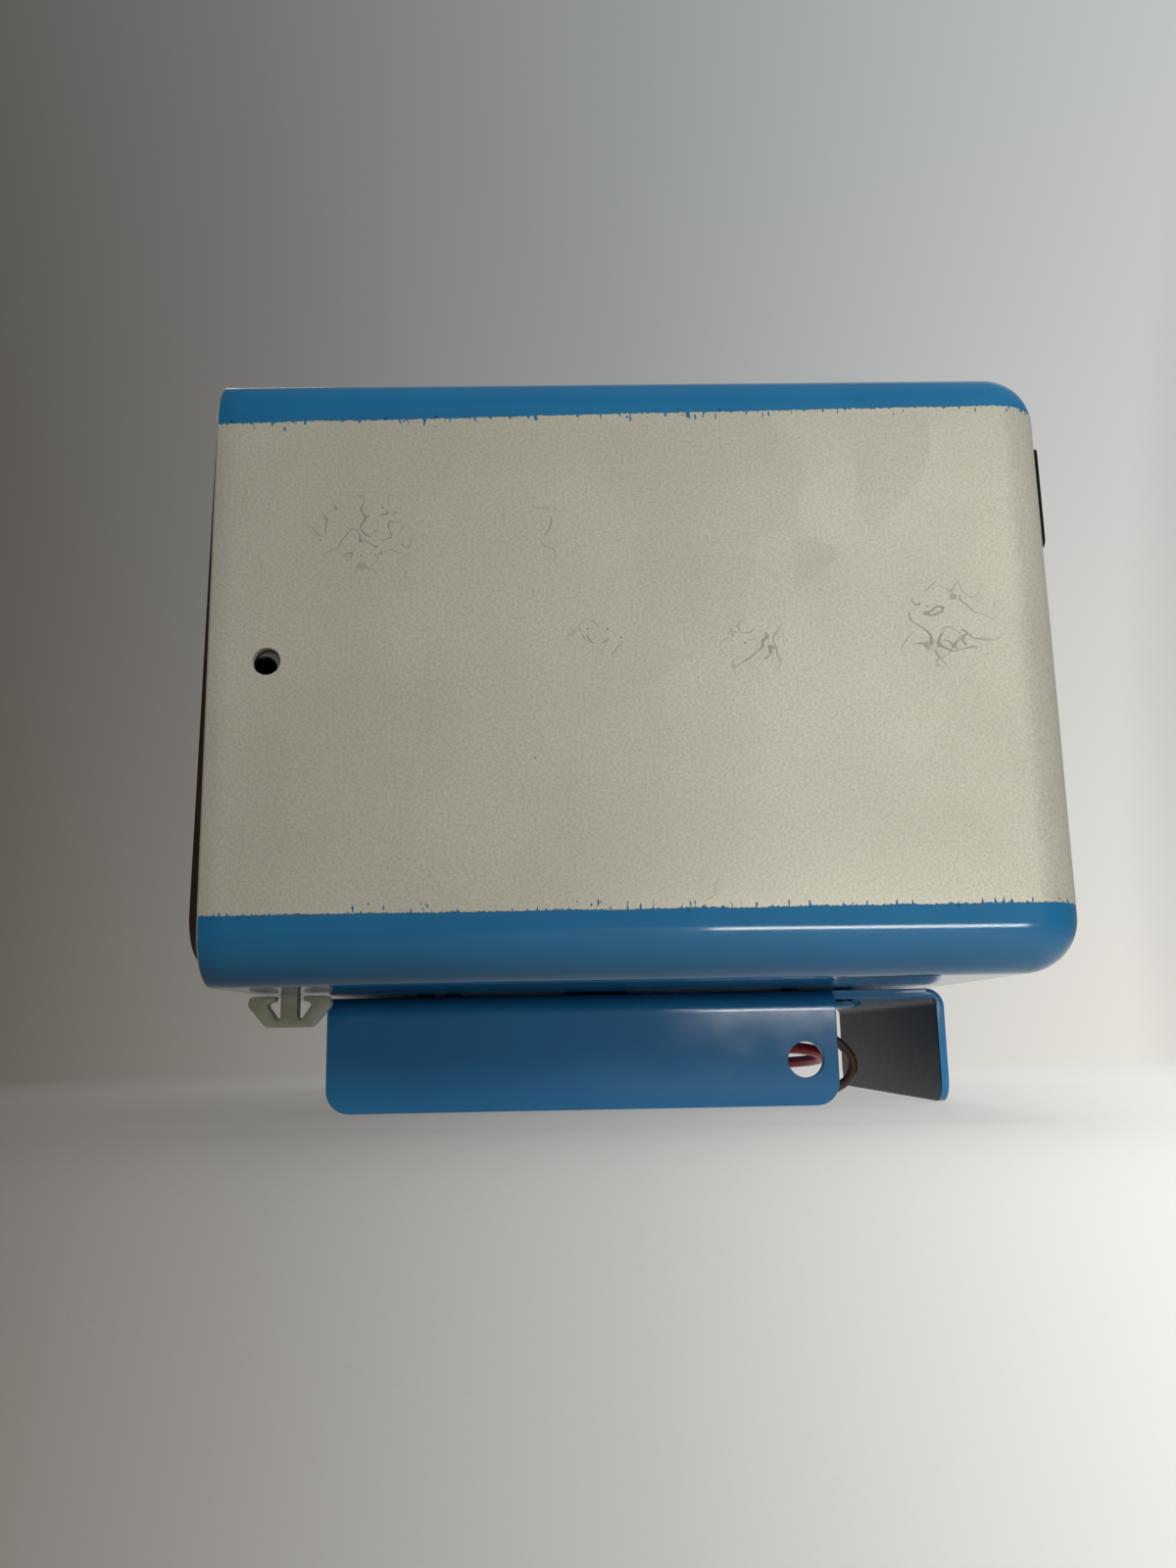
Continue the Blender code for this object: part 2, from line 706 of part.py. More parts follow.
def build_board():
    board = block(
        "circuit_board",
        (board_rear, board_margin, board_low),
        (board_front, cover_width - board_margin, board_top),
        "green_board",
    )
    bore = screw_radius + gap
    standoff = [
        (bore, standoff_height),
        (standoff_radius, standoff_height),
        (standoff_radius, 0),
        (bore, 0),
    ]
    for number, (x, y) in enumerate(board_screw_places(), 1):
        drill(board, f"board_hole_{number}", (x, y, board_top), (0, 0, 1), bore, 6 * board_thickness, 16)
        place = (x, y, chassis_top + gap)
        turned(f"standoff_{number}", standoff, place, (0, 0, 1), "aluminium", 12, closed=True)
        pan_screw(f"board_screw_{number}", (x, y, seat), (0, 0, 1), 6.0 * mm)


def build_relay():
    """A yoke with a coil on its core, and an armature that closes on the core and the contact."""
    yoke_x = 68.0 * mm
    core_x = yoke_x + 11.0 * mm
    relay_y = middle_y + 30.0 * mm
    half_width = 6.0 * mm
    sheet = 1.5 * mm
    yoke_height = 24.0 * mm
    top = seat + yoke_height
    bm = bmesh.new()
    start = [bm.verts.new((yoke_x + 19.0 * mm, relay_y + side * half_width, seat)) for side in (-1, 1)]
    edge = bm.edges.new(start)
    extrude_edges(bm, [edge], [(-19.0 * mm, 0, 0), (-19.0 * mm, 0, yoke_height)], 1)
    yoke = add_object("relay_yoke", finish_mesh("relay_yoke", bm), "zinc_steel")
    fold = yoke.modifiers.new("sheet", "SOLIDIFY")
    fold.thickness = sheet
    fold.offset = 1
    fold.use_even_offset = True
    core_low = seat + sheet + gap
    core_top = top - 0.6 * mm
    core_radius = 2.5 * mm
    core_place = (core_x, relay_y, core_low)
    rod("relay_core", core_place, (0, 0, 1), core_radius, core_top - core_low, "zinc_steel", 20)
    inner = core_radius + gap
    tube = inner + 0.8 * mm
    rim = 6.6 * mm
    spool_low = core_low
    spool_top = core_top - 1.2 * mm
    flange = 1.0 * mm
    spool = [
        (inner, spool_top),
        (rim, spool_top),
        (rim, spool_top - flange),
        (tube, spool_top - flange),
        (tube, spool_low + flange),
        (rim, spool_low + flange),
        (rim, spool_low),
        (inner, spool_low),
    ]
    turned("relay_bobbin", spool, (core_x, relay_y, 0), (0, 0, 1), "black_plastic", 20, closed=True)
    winding = [
        (tube + gap, spool_top - flange - gap),
        (rim - gap, spool_top - flange - gap),
        (rim - gap, spool_low + flange + gap),
        (tube + gap, spool_low + flange + gap),
    ]
    turned("relay_winding", winding, (core_x, relay_y, 0), (0, 0, 1), "copper", 20, closed=True)
    pivot = add_empty("armature_axis", (yoke_x + sheet / 2, relay_y, top + gap / 2))
    plate = 1.2 * mm
    reach = 16.5 * mm
    under = gap / 2
    plate_high_corner = (reach, half_width, under + plate)
    block("relay_armature", (-1.5 * mm, -half_width, under), plate_high_corner, "zinc_steel", 0, pivot)
    blade_low = under + plate + gap
    blade_reach = 27.0 * mm
    blade_top = blade_low + 0.4 * mm
    blade_half = 2.0 * mm
    blade_start = (2.0 * mm, -blade_half, blade_low)
    block("contact_blade", blade_start, (blade_reach, blade_half, blade_top), "brass", 0, pivot)
    post_x = yoke_x + sheet / 2 + blade_reach - 2.0 * mm
    post_top = top + blade_low - 1.9 * mm
    rod("contact_post", (post_x, relay_y, seat), (0, 0, 1), 1.4 * mm, post_top - seat, "brass", 12)


def build_electronics():
    capacitor_height = 21.0 * mm
    capacitor_radius = 6.3 * mm
    profile = [
        (0, capacitor_height - 0.5 * mm),
        (capacitor_radius * 0.75, capacitor_height - 0.5 * mm),
        (capacitor_radius * 0.9, capacitor_height),
        (capacitor_radius, capacitor_height - 0.8 * mm),
        (capacitor_radius, 2.6 * mm),
        (capacitor_radius * 0.93, 2.0 * mm),
        (capacitor_radius, 1.4 * mm),
        (capacitor_radius, 0),
        (0, 0),
    ]
    place = (30.0 * mm, middle_y + 36.0 * mm, seat)
    turned("filter_capacitor", profile, place, (0, 0, 1), "aluminium", 20)
    coil_radius = 4.0 * mm
    coil_wire = 0.5 * mm
    coil_turns = 4
    coil_pitch = 2.0 * mm
    coil_start = Vector((26.0 * mm, middle_y - 16.0 * mm, seat + coil_radius + coil_wire))
    route = []
    steps = 12 * coil_turns
    for step in range(steps + 1):
        turn = 2 * math.pi * coil_turns * step / steps
        along = coil_pitch * coil_turns * step / steps
        around = Vector((along, coil_radius * math.sin(turn), -coil_radius * math.cos(turn)))
        route.append(coil_start + around)
    wire("tuning_coil", route, coil_wire, "copper", 1)
    trimmer_place = Vector((30.0 * mm, middle_y - 36.0 * mm, seat))
    base_height = 3.0 * mm
    base = [
        (0, base_height),
        (5.2 * mm, base_height),
        (5.6 * mm, base_height - 0.6 * mm),
        (5.6 * mm, 0),
        (0, 0),
    ]
    turned("trimmer_base", base, trimmer_place, (0, 0, 1), "ceramic", 20)
    axis = add_empty("trimmer_axis", trimmer_place + Vector((0, 0, base_height + gap)))
    rotor_height = 1.8 * mm
    rotor = rod("trimmer_rotor", (0, 0, 0), (0, 0, 1), 4.4 * mm, rotor_height, "brass", 20, axis)
    slot_low = (-3.0 * mm, -0.5 * mm, 0.8 * mm)
    slot = block("trimmer_slot", slot_low, (3.0 * mm, 0.5 * mm, 3.0 * mm), None, 0, axis)
    cut(rotor, slot)
    chip_low = Vector((52.0 * mm, middle_y - 40.0 * mm, seat))
    chip_size = Vector((19.0 * mm, 6.4 * mm, 3.6 * mm))
    block("decoder_chip", chip_low, chip_low + chip_size, "black_plastic", 0.3 * mm)
    for number, x in enumerate((50.0, 62.0), 1):
        place = (x * mm, middle_y - 16.0 * mm, seat)
        body = rod(f"transistor_{number}", place, (0, 0, 1), 2.4 * mm, 4.6 * mm, "black_plastic", 16)
        flat = block(
            f"transistor_flat_{number}",
            ((x - 4.0) * mm, middle_y - 20.0 * mm, seat - 1.0 * mm),
            ((x + 4.0) * mm, middle_y - 17.4 * mm, seat + 6.0 * mm),
            None,
        )
        cut(body, flat)
    body_radius = 1.3 * mm
    lead_radius = 0.4 * mm
    resistor = [
        (0, 7.0 * mm),
        (lead_radius, 7.0 * mm),
        (lead_radius, 3.4 * mm),
        (body_radius, 3.0 * mm),
        (body_radius, -3.0 * mm),
        (lead_radius, -3.4 * mm),
        (lead_radius, -7.0 * mm),
        (0, -7.0 * mm),
    ]
    for number, y in enumerate((0.0, 6.0), 1):
        place = (30.0 * mm, middle_y + y * mm, seat + body_radius)
        turned(f"resistor_{number}", resistor, place, (1, 0, 0), "ceramic", 12)


# Routes of the leads in millimetres, in the cover's frame, each from the grommet's lower mouth
red_route = [
    (50.3, 86.1, -3.5), (50.5, 85.6, -7.0), (53.0, 82.5, -10.5), (60.0, 76.0, -12.0), (69.0, 69.5, -12.0),
    (77.5, 65.5, -10.6), (84.0, 64.2, -9.6), (88.6, 66.0, -9.9), (91.4, 70.0, -10.8), (92.4, 76.0, -11.6),
    (90.8, 82.5, -12.2), (86.5, 87.5, -12.6), (80.0, 90.3, -13.0), (71.0, 91.8, -13.6), (61.0, 93.5, -14.2),
    (50.0, 95.5, -14.8), (38.0, 96.0, -15.4), (29.0, 92.5, -15.9), (25.5, 85.5, -16.3), (28.5, 78.5, -16.6),
    (36.0, 75.0, -16.8), (45.0, 74.0, -17.0),
]
brown_route = [
    (53.8, 86.2, -3.5), (54.2, 85.8, -6.2), (57.0, 82.5, -8.0), (62.5, 76.0, -8.4), (70.0, 68.0, -7.6),
    (79.0, 61.5, -6.5), (86.0, 58.5, -6.4), (91.5, 57.8, -8.2), (94.4, 57.6, -11.8), (93.2, 57.4, -15.0),
    (89.0, 57.0, -16.9), (83.0, 56.6, -17.4), (75.0, 56.5, -17.3), (66.0, 56.8, -17.3), (59.0, 57.0, -17.3),
]
black_route = [
    (52.0, 83.0, -3.5), (51.4, 82.3, -6.8), (47.0, 77.5, -9.8), (40.0, 70.5, -11.2), (32.0, 63.5, -12.2),
    (24.5, 58.5, -13.3), (18.0, 57.5, -14.5), (15.4, 61.5, -15.6), (18.5, 66.5, -16.4), (26.0, 68.0, -16.9),
    (35.0, 64.8, -17.2), (43.0, 60.5, -17.3), (50.0, 57.5, -17.4),
]
inner_routes = {
    "red_lead": [
        (50.3, 86.1, -3.2), (50.3, 86.1, 2.0), (49.8, 86.4, 6.5),
        (47.0, 88.0, 8.8), (43.0, 90.0, 9.4), (41.0, 91.0, 11.3),
    ],
    "brown_lead": [
        (53.8, 86.2, -3.2), (53.8, 86.2, 2.0), (54.4, 86.6, 6.5),
        (57.0, 88.0, 8.8), (61.0, 90.0, 9.4), (63.0, 91.0, 11.3),
    ],
    "black_lead": [
        (52.0, 83.0, -3.2), (52.0, 83.0, 2.0), (52.0, 82.0, 6.5),
        (52.0, 79.5, 8.8), (52.0, 76.0, 9.4), (52.0, 74.0, 11.3),
    ],
}
wire_sizes = {
    "red": (red_radius, "red_insulation"),
    "brown": (thin_radius, "brown_insulation"),
    "black": (thin_radius, "black_insulation"),
}


def build_wires():
    outer = {"red": red_route, "brown": brown_route, "black": black_route}
    for colour, (radius, finish) in wire_sizes.items():
        wire(f"{colour}_wire", smooth_route(outer[colour], 5 * radius), radius, finish)
        wire(f"{colour}_lead", smooth_route(inner_routes[f"{colour}_lead"], 4 * radius), radius, finish)


def main():
    build_cover()
    build_bracket()
    build_rivets()
    build_grommet()
    build_snap_fastener()
    build_front()
    build_rear()
    build_chassis()
    build_board()
    build_relay()
    build_electronics()
    build_wires()
    middle_x = (cover_length + front_extent - rear_extent) / 2
    middle = (cover_width + far_extent) / 2
    assembly.location = (-middle_x, -middle, -bracket_bottom)


main()
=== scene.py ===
import math

import bmesh
import bpy
from mathutils import Matrix, Vector, noise


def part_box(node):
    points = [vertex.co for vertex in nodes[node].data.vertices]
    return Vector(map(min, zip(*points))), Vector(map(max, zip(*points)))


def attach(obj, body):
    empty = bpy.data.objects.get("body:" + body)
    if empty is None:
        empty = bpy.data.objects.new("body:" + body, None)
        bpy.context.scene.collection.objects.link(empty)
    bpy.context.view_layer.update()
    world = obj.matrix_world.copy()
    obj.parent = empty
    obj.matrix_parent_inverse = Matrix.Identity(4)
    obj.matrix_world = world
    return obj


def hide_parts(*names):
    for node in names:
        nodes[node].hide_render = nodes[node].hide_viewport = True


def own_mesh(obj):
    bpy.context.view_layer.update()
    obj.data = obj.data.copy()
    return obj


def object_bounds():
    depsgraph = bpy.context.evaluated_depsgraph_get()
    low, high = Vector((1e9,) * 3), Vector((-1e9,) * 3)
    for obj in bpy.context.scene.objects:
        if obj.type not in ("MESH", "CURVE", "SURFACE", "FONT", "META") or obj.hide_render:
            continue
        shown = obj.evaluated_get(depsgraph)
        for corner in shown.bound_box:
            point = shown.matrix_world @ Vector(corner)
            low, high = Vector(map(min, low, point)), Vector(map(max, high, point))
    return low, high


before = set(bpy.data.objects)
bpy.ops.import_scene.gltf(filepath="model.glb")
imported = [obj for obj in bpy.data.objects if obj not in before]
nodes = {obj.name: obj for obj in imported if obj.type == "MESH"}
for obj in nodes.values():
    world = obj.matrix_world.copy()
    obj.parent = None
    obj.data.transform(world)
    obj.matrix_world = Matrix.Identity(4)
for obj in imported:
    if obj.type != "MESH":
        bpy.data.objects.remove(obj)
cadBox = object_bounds()
mm = 0.001
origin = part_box("cover")[0]  # rear left lower corner of the cover; x runs to the front end, y to the right side
print("frame loaded:", len(nodes), "nodes")

# All lengths in the dictionaries are millimetres from that corner.

view = {"place": (46.89, -160.87, -7.22), "turn": 1.0, "pitch": 11.3, "roll": -1.064, "lens": 29.17}


def addCamera():
    data = bpy.data.cameras.new("studioCamera")
    data.sensor_width = 36
    data.lens = view["lens"]
    data.clip_start = 0.005
    camera = bpy.data.objects.new("studioCamera", data)
    turn = Matrix.Rotation(math.radians(-view["turn"]), 4, "Z")
    pitch = Matrix.Rotation(math.radians(90 + view["pitch"]), 4, "X")
    roll = Matrix.Rotation(math.radians(view["roll"]), 4, "Z")
    place = Matrix.Translation(origin + Vector(view["place"]) * mm)
    camera.matrix_world = place @ turn @ pitch @ roll
    bpy.context.scene.collection.objects.link(camera)
    bpy.context.scene.camera = camera


addCamera()


# Shader helpers: each returns an output socket

def startMaterial(name):
    material = bpy.data.materials.new(name)
    material.use_nodes = True
    tree = material.node_tree
    return material, tree, tree.nodes["Principled BSDF"]


def feed(tree, socket, value):
    if isinstance(value, bpy.types.NodeSocket):
        tree.links.new(value, socket)
    else:
        socket.default_value = value


def spots(tree, stretch=(1, 1, 1)):  # millimetre coordinates fixed to the piece
    place = tree.nodes.new("ShaderNodeTexCoord")
    scale = tree.nodes.new("ShaderNodeMapping")
    scale.inputs["Scale"].default_value = [1000 * s for s in stretch]
    tree.links.new(place.outputs["Object"], scale.inputs["Vector"])
    return scale.outputs["Vector"]


def split(tree, vector):
    parts = tree.nodes.new("ShaderNodeSeparateXYZ")
    tree.links.new(vector, parts.inputs[0])
    return parts.outputs


def calc(tree, operation, a, b=0.0, c=0.0, clamp=False):
    maths = tree.nodes.new("ShaderNodeMath")
    maths.operation = operation
    maths.use_clamp = clamp
    for socket, value in zip(maths.inputs, (a, b, c)):
        feed(tree, socket, value)
    return maths.outputs[0]


def noiseAt(tree, vector, scale, detail=3.0, roughness=0.5, warp=0.0):
    cloud = tree.nodes.new("ShaderNodeTexNoise")
    cloud.inputs["Scale"].default_value = scale
    cloud.inputs["Detail"].default_value = detail
    cloud.inputs["Roughness"].default_value = roughness
    cloud.inputs["Distortion"].default_value = warp
    tree.links.new(vector, cloud.inputs["Vector"])
    return cloud.outputs["Fac"]


def cells(tree, vector, scale, feature="F1"):
    net = tree.nodes.new("ShaderNodeTexVoronoi")
    net.feature = feature
    net.inputs["Scale"].default_value = scale
    tree.links.new(vector, net.inputs["Vector"])
    return net


def band(tree, value, low, high):  # 0 below low, 1 above high
    ramp = tree.nodes.new("ShaderNodeMapRange")
    ramp.interpolation_type = "SMOOTHSTEP"
    ramp.clamp = True
    feed(tree, ramp.inputs["Value"], value)
    ramp.inputs["From Min"].default_value = low
    ramp.inputs["From Max"].default_value = high
    return ramp.outputs["Result"]


def scaled(tree, value, low, high):  # 0..1 to low..high
    ramp = tree.nodes.new("ShaderNodeMapRange")
    feed(tree, ramp.inputs["Value"], value)
    ramp.inputs["To Min"].default_value = low
    ramp.inputs["To Max"].default_value = high
    return ramp.outputs["Result"]


def mixed(tree, factor, a, b, mode="MIX"):
    mix = tree.nodes.new("ShaderNodeMix")
    mix.data_type = "RGBA"
    mix.blend_type = mode
    feed(tree, mix.inputs[0], factor)
    feed(tree, mix.inputs[6], a if isinstance(a, bpy.types.NodeSocket) else (*a, 1))
    feed(tree, mix.inputs[7], b if isinstance(b, bpy.types.NodeSocket) else (*b, 1))
    return mix.outputs[2]


def relief(tree, height, distance, strength=1.0, under=None):
    bump = tree.nodes.new("ShaderNodeBump")
    bump.inputs["Strength"].default_value = strength
    bump.inputs["Distance"].default_value = distance * mm
    tree.links.new(height, bump.inputs["Height"])
    if under:
        tree.links.new(under, bump.inputs["Normal"])
    return bump.outputs["Normal"]


def plainFinish(name, colour, other, rough=(0.35, 0.5), metal=0.0, grain=1.2, stretch=(1, 1, 1), lift=0.02, **fixed):
    """Two close tones in a cloudy mix, an uneven gloss and a fine relief."""
    material, tree, shader = startMaterial(name)
    place = spots(tree, stretch)
    broad = noiseAt(tree, place, grain * 0.25, 4)
    fine = noiseAt(tree, place, grain * 3, 2)
    feed(tree, shader.inputs["Base Color"], mixed(tree, band(tree, broad, 0.35, 0.65), colour, other))
    feed(tree, shader.inputs["Roughness"], scaled(tree, noiseAt(tree, place, grain, 4), *rough))
    feed(tree, shader.inputs["Normal"], relief(tree, fine, lift))
    shader.inputs["Metallic"].default_value = metal
    for socket, value in fixed.items():
        shader.inputs[socket.replace("_", " ")].default_value = value
    return material


# Mesh helpers

def addPiece(name, mesh, material, replaces=(), body="housing", matrix=None):
    piece = bpy.data.objects.new(name, mesh)
    bpy.context.scene.collection.objects.link(piece)
    piece.matrix_world = matrix or Matrix.Translation(origin)
    if material:
        mesh.materials.append(material)
    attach(piece, body)
    if replaces:
        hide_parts(*replaces)
    return piece


def toMesh(name, bm, sharp=35):
    bmesh.ops.recalc_face_normals(bm, faces=bm.faces)
    mesh = bpy.data.meshes.new(name)
    bm.to_mesh(mesh)
    bm.free()
    mesh.shade_smooth()
    mesh.set_sharp_from_angle(angle=math.radians(sharp))
    return mesh


def evenShading(*pieces):  # flat faces shade flat beside their softened edges
    for piece in pieces:
        weighted = piece.modifiers.new("evenShading", "WEIGHTED_NORMAL")
        weighted.keep_sharp = True
        weighted.weight = 80


def settle(piece, sharp=35):  # turns the modifiers into plain mesh
    graph = bpy.context.evaluated_depsgraph_get()
    made = bpy.data.meshes.new_from_object(piece.evaluated_get(graph), depsgraph=graph)
    piece.modifiers.clear()
    piece.data = made
    made.shade_smooth()
    made.set_sharp_from_angle(angle=math.radians(sharp))


def carve(piece, cutters, operation="DIFFERENCE"):
    for cutter in cutters:
        boolean = piece.modifiers.new("carve", "BOOLEAN")
        boolean.object = cutter
        boolean.operation = operation
        boolean.solver = "EXACT"
    settle(piece)
    for cutter in cutters:
        bpy.data.objects.remove(cutter, do_unlink=True)


def softEdges(piece, width, segments=2, angle=40):
    bevel = piece.modifiers.new("softEdges", "BEVEL")
    bevel.width = width * mm
    bevel.segments = segments
    bevel.limit_method = "ANGLE"
    bevel.angle_limit = math.radians(angle)
    bevel.use_clamp_overlap = True


def bar(place, direction, radius, length, sides=40, tip=None, base=None):  # a round cutter centred on place
    bm = bmesh.new()
    far = radius if tip is None else tip
    bmesh.ops.create_cone(
        bm, cap_ends=True, segments=sides, radius1=radius * mm, radius2=far * mm, depth=length * mm
    )
    cutter = bpy.data.objects.new("cutter", toMesh("cutter", bm))
    bpy.context.scene.collection.objects.link(cutter)
    aim = Vector(direction).to_track_quat("Z", "Y").to_matrix().to_4x4()
    cutter.matrix_world = (base or Matrix.Translation(origin)) @ Matrix.Translation(Vector(place) * mm) @ aim
    return cutter


def turned(profile, steps=48):  # a lathe shape about z from radius and height pairs
    bm = bmesh.new()
    verts = [bm.verts.new((radius * mm, 0, height * mm)) for radius, height in profile]
    edges = [bm.edges.new(pair) for pair in zip(verts, verts[1:])]
    bmesh.ops.spin(
        bm, geom=verts + edges, cent=(0, 0, 0), axis=(0, 0, 1), angle=2 * math.pi, steps=steps, use_merge=True
    )
    bmesh.ops.remove_doubles(bm, verts=bm.verts, dist=0.002 * mm)
    return bm


def facing(place, direction, base=None):
    aim = Vector(direction).to_track_quat("Z", "Y").to_matrix().to_4x4()
    return (base or Matrix.Translation(origin)) @ Matrix.Translation(Vector(place) * mm) @ aim


def arcPoints(centre, radius, start, end, steps):
    for step in range(steps + 1):
        angle = math.radians(start + (end - start) * step / steps)
        yield centre[0] + radius * math.cos(angle), centre[1] + radius * math.sin(angle)


def tubeMesh(name, points, radius, sides=8):  # a round tube along points in millimetres
    curve = bpy.data.curves.new(name, "CURVE")
    curve.dimensions = "3D"
    curve.bevel_depth = radius * mm
    curve.bevel_resolution = sides // 4
    curve.use_fill_caps = True
    spline = curve.splines.new("POLY")
    spline.points.add(len(points) - 1)
    for point, place in zip(spline.points, points):
        point.co = (*(Vector(place) * mm), 1)
    holder = bpy.data.objects.new(name, curve)
    bpy.context.scene.collection.objects.link(holder)
    graph = bpy.context.evaluated_depsgraph_get()
    mesh = bpy.data.meshes.new_from_object(holder.evaluated_get(graph))
    bpy.data.objects.remove(holder, do_unlink=True)
    bpy.data.curves.remove(curve)
    mesh.shade_smooth()
    return mesh


# Supply leads: each leaves the grommet, drops into the bracket's channel and ends bare

redLead = {
    "colour": (0.36, 0.012, 0.012), "other": (0.28, 0.01, 0.012), "radius": 1.0, "length": 0.1685, "bare": 3.0,
    "route": [
        (50.3, 86.1, -3.5), (50.5, 85.6, -7.0), (53.0, 82.5, -10.5), (60.0, 76.0, -12.0), (69.0, 69.5, -12.0),
        (77.5, 65.5, -10.6), (84.0, 64.2, -9.6), (88.6, 66.0, -9.9), (91.4, 70.0, -10.8), (92.4, 76.0, -11.6),
        (90.8, 82.5, -12.2), (86.5, 87.5, -12.6), (80.0, 90.3, -13.0), (71.0, 91.8, -13.6), (61.0, 93.5, -14.2),
        (50.0, 95.5, -14.8), (38.0, 96.0, -15.4), (29.0, 92.5, -15.9), (25.5, 85.5, -16.3), (28.5, 78.5, -16.6),
        (36.0, 75.0, -16.8), (45.0, 74.0, -17.0),
    ],
}
brownLead = {
    "colour": (0.13, 0.055, 0.022), "other": (0.08, 0.035, 0.016), "radius": 0.8, "length": 0.0948, "bare": 3.0,
    "route": [
        (53.8, 86.2, -3.5), (54.2, 85.8, -6.2), (57.0, 82.5, -8.0), (62.5, 76.0, -8.4), (70.0, 68.0, -7.6),
        (79.0, 61.5, -6.5), (86.0, 58.5, -6.4), (91.5, 57.8, -8.2), (94.4, 57.6, -11.8), (93.2, 57.4, -15.0),
        (89.0, 57.0, -16.9), (83.0, 56.6, -17.4), (75.0, 56.5, -17.3), (66.0, 56.8, -17.3), (59.0, 57.0, -17.3),
    ],
}
blackLead = {
    "colour": (0.018, 0.026, 0.02), "other": (0.035, 0.045, 0.035), "radius": 0.8, "length": 0.0927, "bare": 3.0,
    "route": [
        (52.0, 83.0, -3.5), (51.4, 82.3, -6.8), (47.0, 77.5, -9.8), (40.0, 70.5, -11.2), (32.0, 63.5, -12.2),
        (24.5, 58.5, -13.3), (18.0, 57.5, -14.5), (15.4, 61.5, -15.6), (18.5, 66.5, -16.4), (26.0, 68.0, -16.9),
        (35.0, 64.8, -17.2), (43.0, 60.5, -17.3), (50.0, 57.5, -17.4),
    ],
}


def smoothRoute(points, spacing):
    fixed = [Vector(point) for point in points]
    ends = [2 * fixed[0] - fixed[1]] + fixed + [2 * fixed[-1] - fixed[-2]]
    route = [fixed[0]]
    for before, start, end, after in zip(ends, ends[1:], ends[2:], ends[3:]):
        count = max(1, round((end - start).length / spacing))
        for step in range(1, count + 1):
            t = step / count
            bend = (2 * before - 5 * start + 4 * end - after) * t ** 2
            ease = (3 * start - before - 3 * end + after) * t ** 3
            route.append((2 * start + (end - before) * t + bend + ease) / 2)
    return route


def bareEnd(name, place, along, radius, length, material):  # twisted copper strands
    strands = 7
    across = along.cross(Vector((0, 0, 1))).normalized()
    up = across.cross(along).normalized()
    joined = bmesh.new()
    for strand in range(strands):
        points = []
        for step in range(9):
            turn = 2 * math.pi * (strand / strands + 0.35 * step / 8)
            spread = radius * 0.45 * (1 if strand else 0)
            side = across * math.cos(turn) * spread + up * math.sin(turn) * spread
            points.append(place + along * length * step / 8 + side)
        joined.from_mesh(tubeMesh("strand", points, radius * 0.2, 8))
    mesh = bpy.data.meshes.new(name)
    joined.to_mesh(mesh)
    joined.free()
    return addPiece(name, mesh, material)


copperBright = plainFinish("copperBright", (0.72, 0.34, 0.17), (0.5, 0.2, 0.09), (0.22, 0.42), 1.0, 2.0)


def addLead(colour, lead):
    curve = bpy.data.curves.new(f"{colour}SupplyLead", "CURVE")
    curve.dimensions = "3D"
    curve.bevel_depth = lead["radius"] * mm
    curve.bevel_resolution = 5
    curve.use_fill_caps = True
    spline = curve.splines.new("POLY")
    route = smoothRoute(lead["route"], 1.2)
    spline.points.add(len(route) - 1)
    for point, place in zip(spline.points, route):
        point.co = (*(place * mm), 1)
    spline.use_smooth = True
    vinyl = plainFinish(
        f"{colour}Vinyl", lead["colour"], lead["other"], (0.28, 0.45), 0.0, 0.9, lift=0.03,
        Coat_Weight=0.15, Coat_Roughness=0.3,
    )
    piece = addPiece(f"{colour}SupplyLead", curve, vinyl, [f"{colour}_wire"])
    along = (route[-1] - route[-2]).normalized()
    tip = bareEnd(f"{colour}BareEnd", route[-1] - along * 0.2, along, lead["radius"], lead["bare"], copperBright)


for colour, lead in (("red", redLead), ("brown", brownLead), ("black", blackLead)):
    addLead(colour, lead)
print("supply leads laid")


# Studio

studio = {
    "floorSize": 1.0, "fadeFrom": 0.13, "fadeTo": 0.32,
    "backdrop": [
        (0.0, (0.12, 0.11, 0.10)), (0.28, (0.11, 0.095, 0.08)), (0.40, (0.25, 0.24, 0.225)),
        (0.52, (0.42, 0.415, 0.405)), (0.70, (0.78, 0.77, 0.74)), (0.80, (0.26, 0.255, 0.25)), (1.0, (0.10, 0.10, 0.10)),
    ],
    "standpoint": (-6, -262),
    # name, place and aim in metres, width, height, brightness, colour, seen in gloss, the only collection it lights
    "lights": [
        ("keyLight", (0.120, -0.298, 0.128), (0.0, -0.086, 0.06), 0.12, 0.10, 15.2, (1.0, 0.985, 0.94), False, ""),
        ("bendStrip", (0.0995, -0.386, 0.037), (0.02, -0.04, 0.015), 0.095, 0.020, 26.0, (1.0, 0.985, 0.95), True, "bracketOnly"),
        ("lowStrip", (0.048, -0.148, 0.005), (0.034, -0.086, 0.024), 0.057, 0.006, 17.0, (1.0, 0.985, 0.95), True, "coverOnly"),
        ("topLight", (0.10, 0.10, 0.85), (0.0, 0.0, 0.05), 0.70, 0.70, 3.0, (0.97, 0.985, 1.0), False, ""),
        ("backLight", (-0.45, 0.65, 0.50), (0.0, 0.05, 0.05), 0.45, 0.45, 1.4, (1.0, 0.99, 0.97), True, ""),
    ],
}
litAlone = {name: bpy.data.collections.new(name) for name in ("coverOnly", "bracketOnly")}


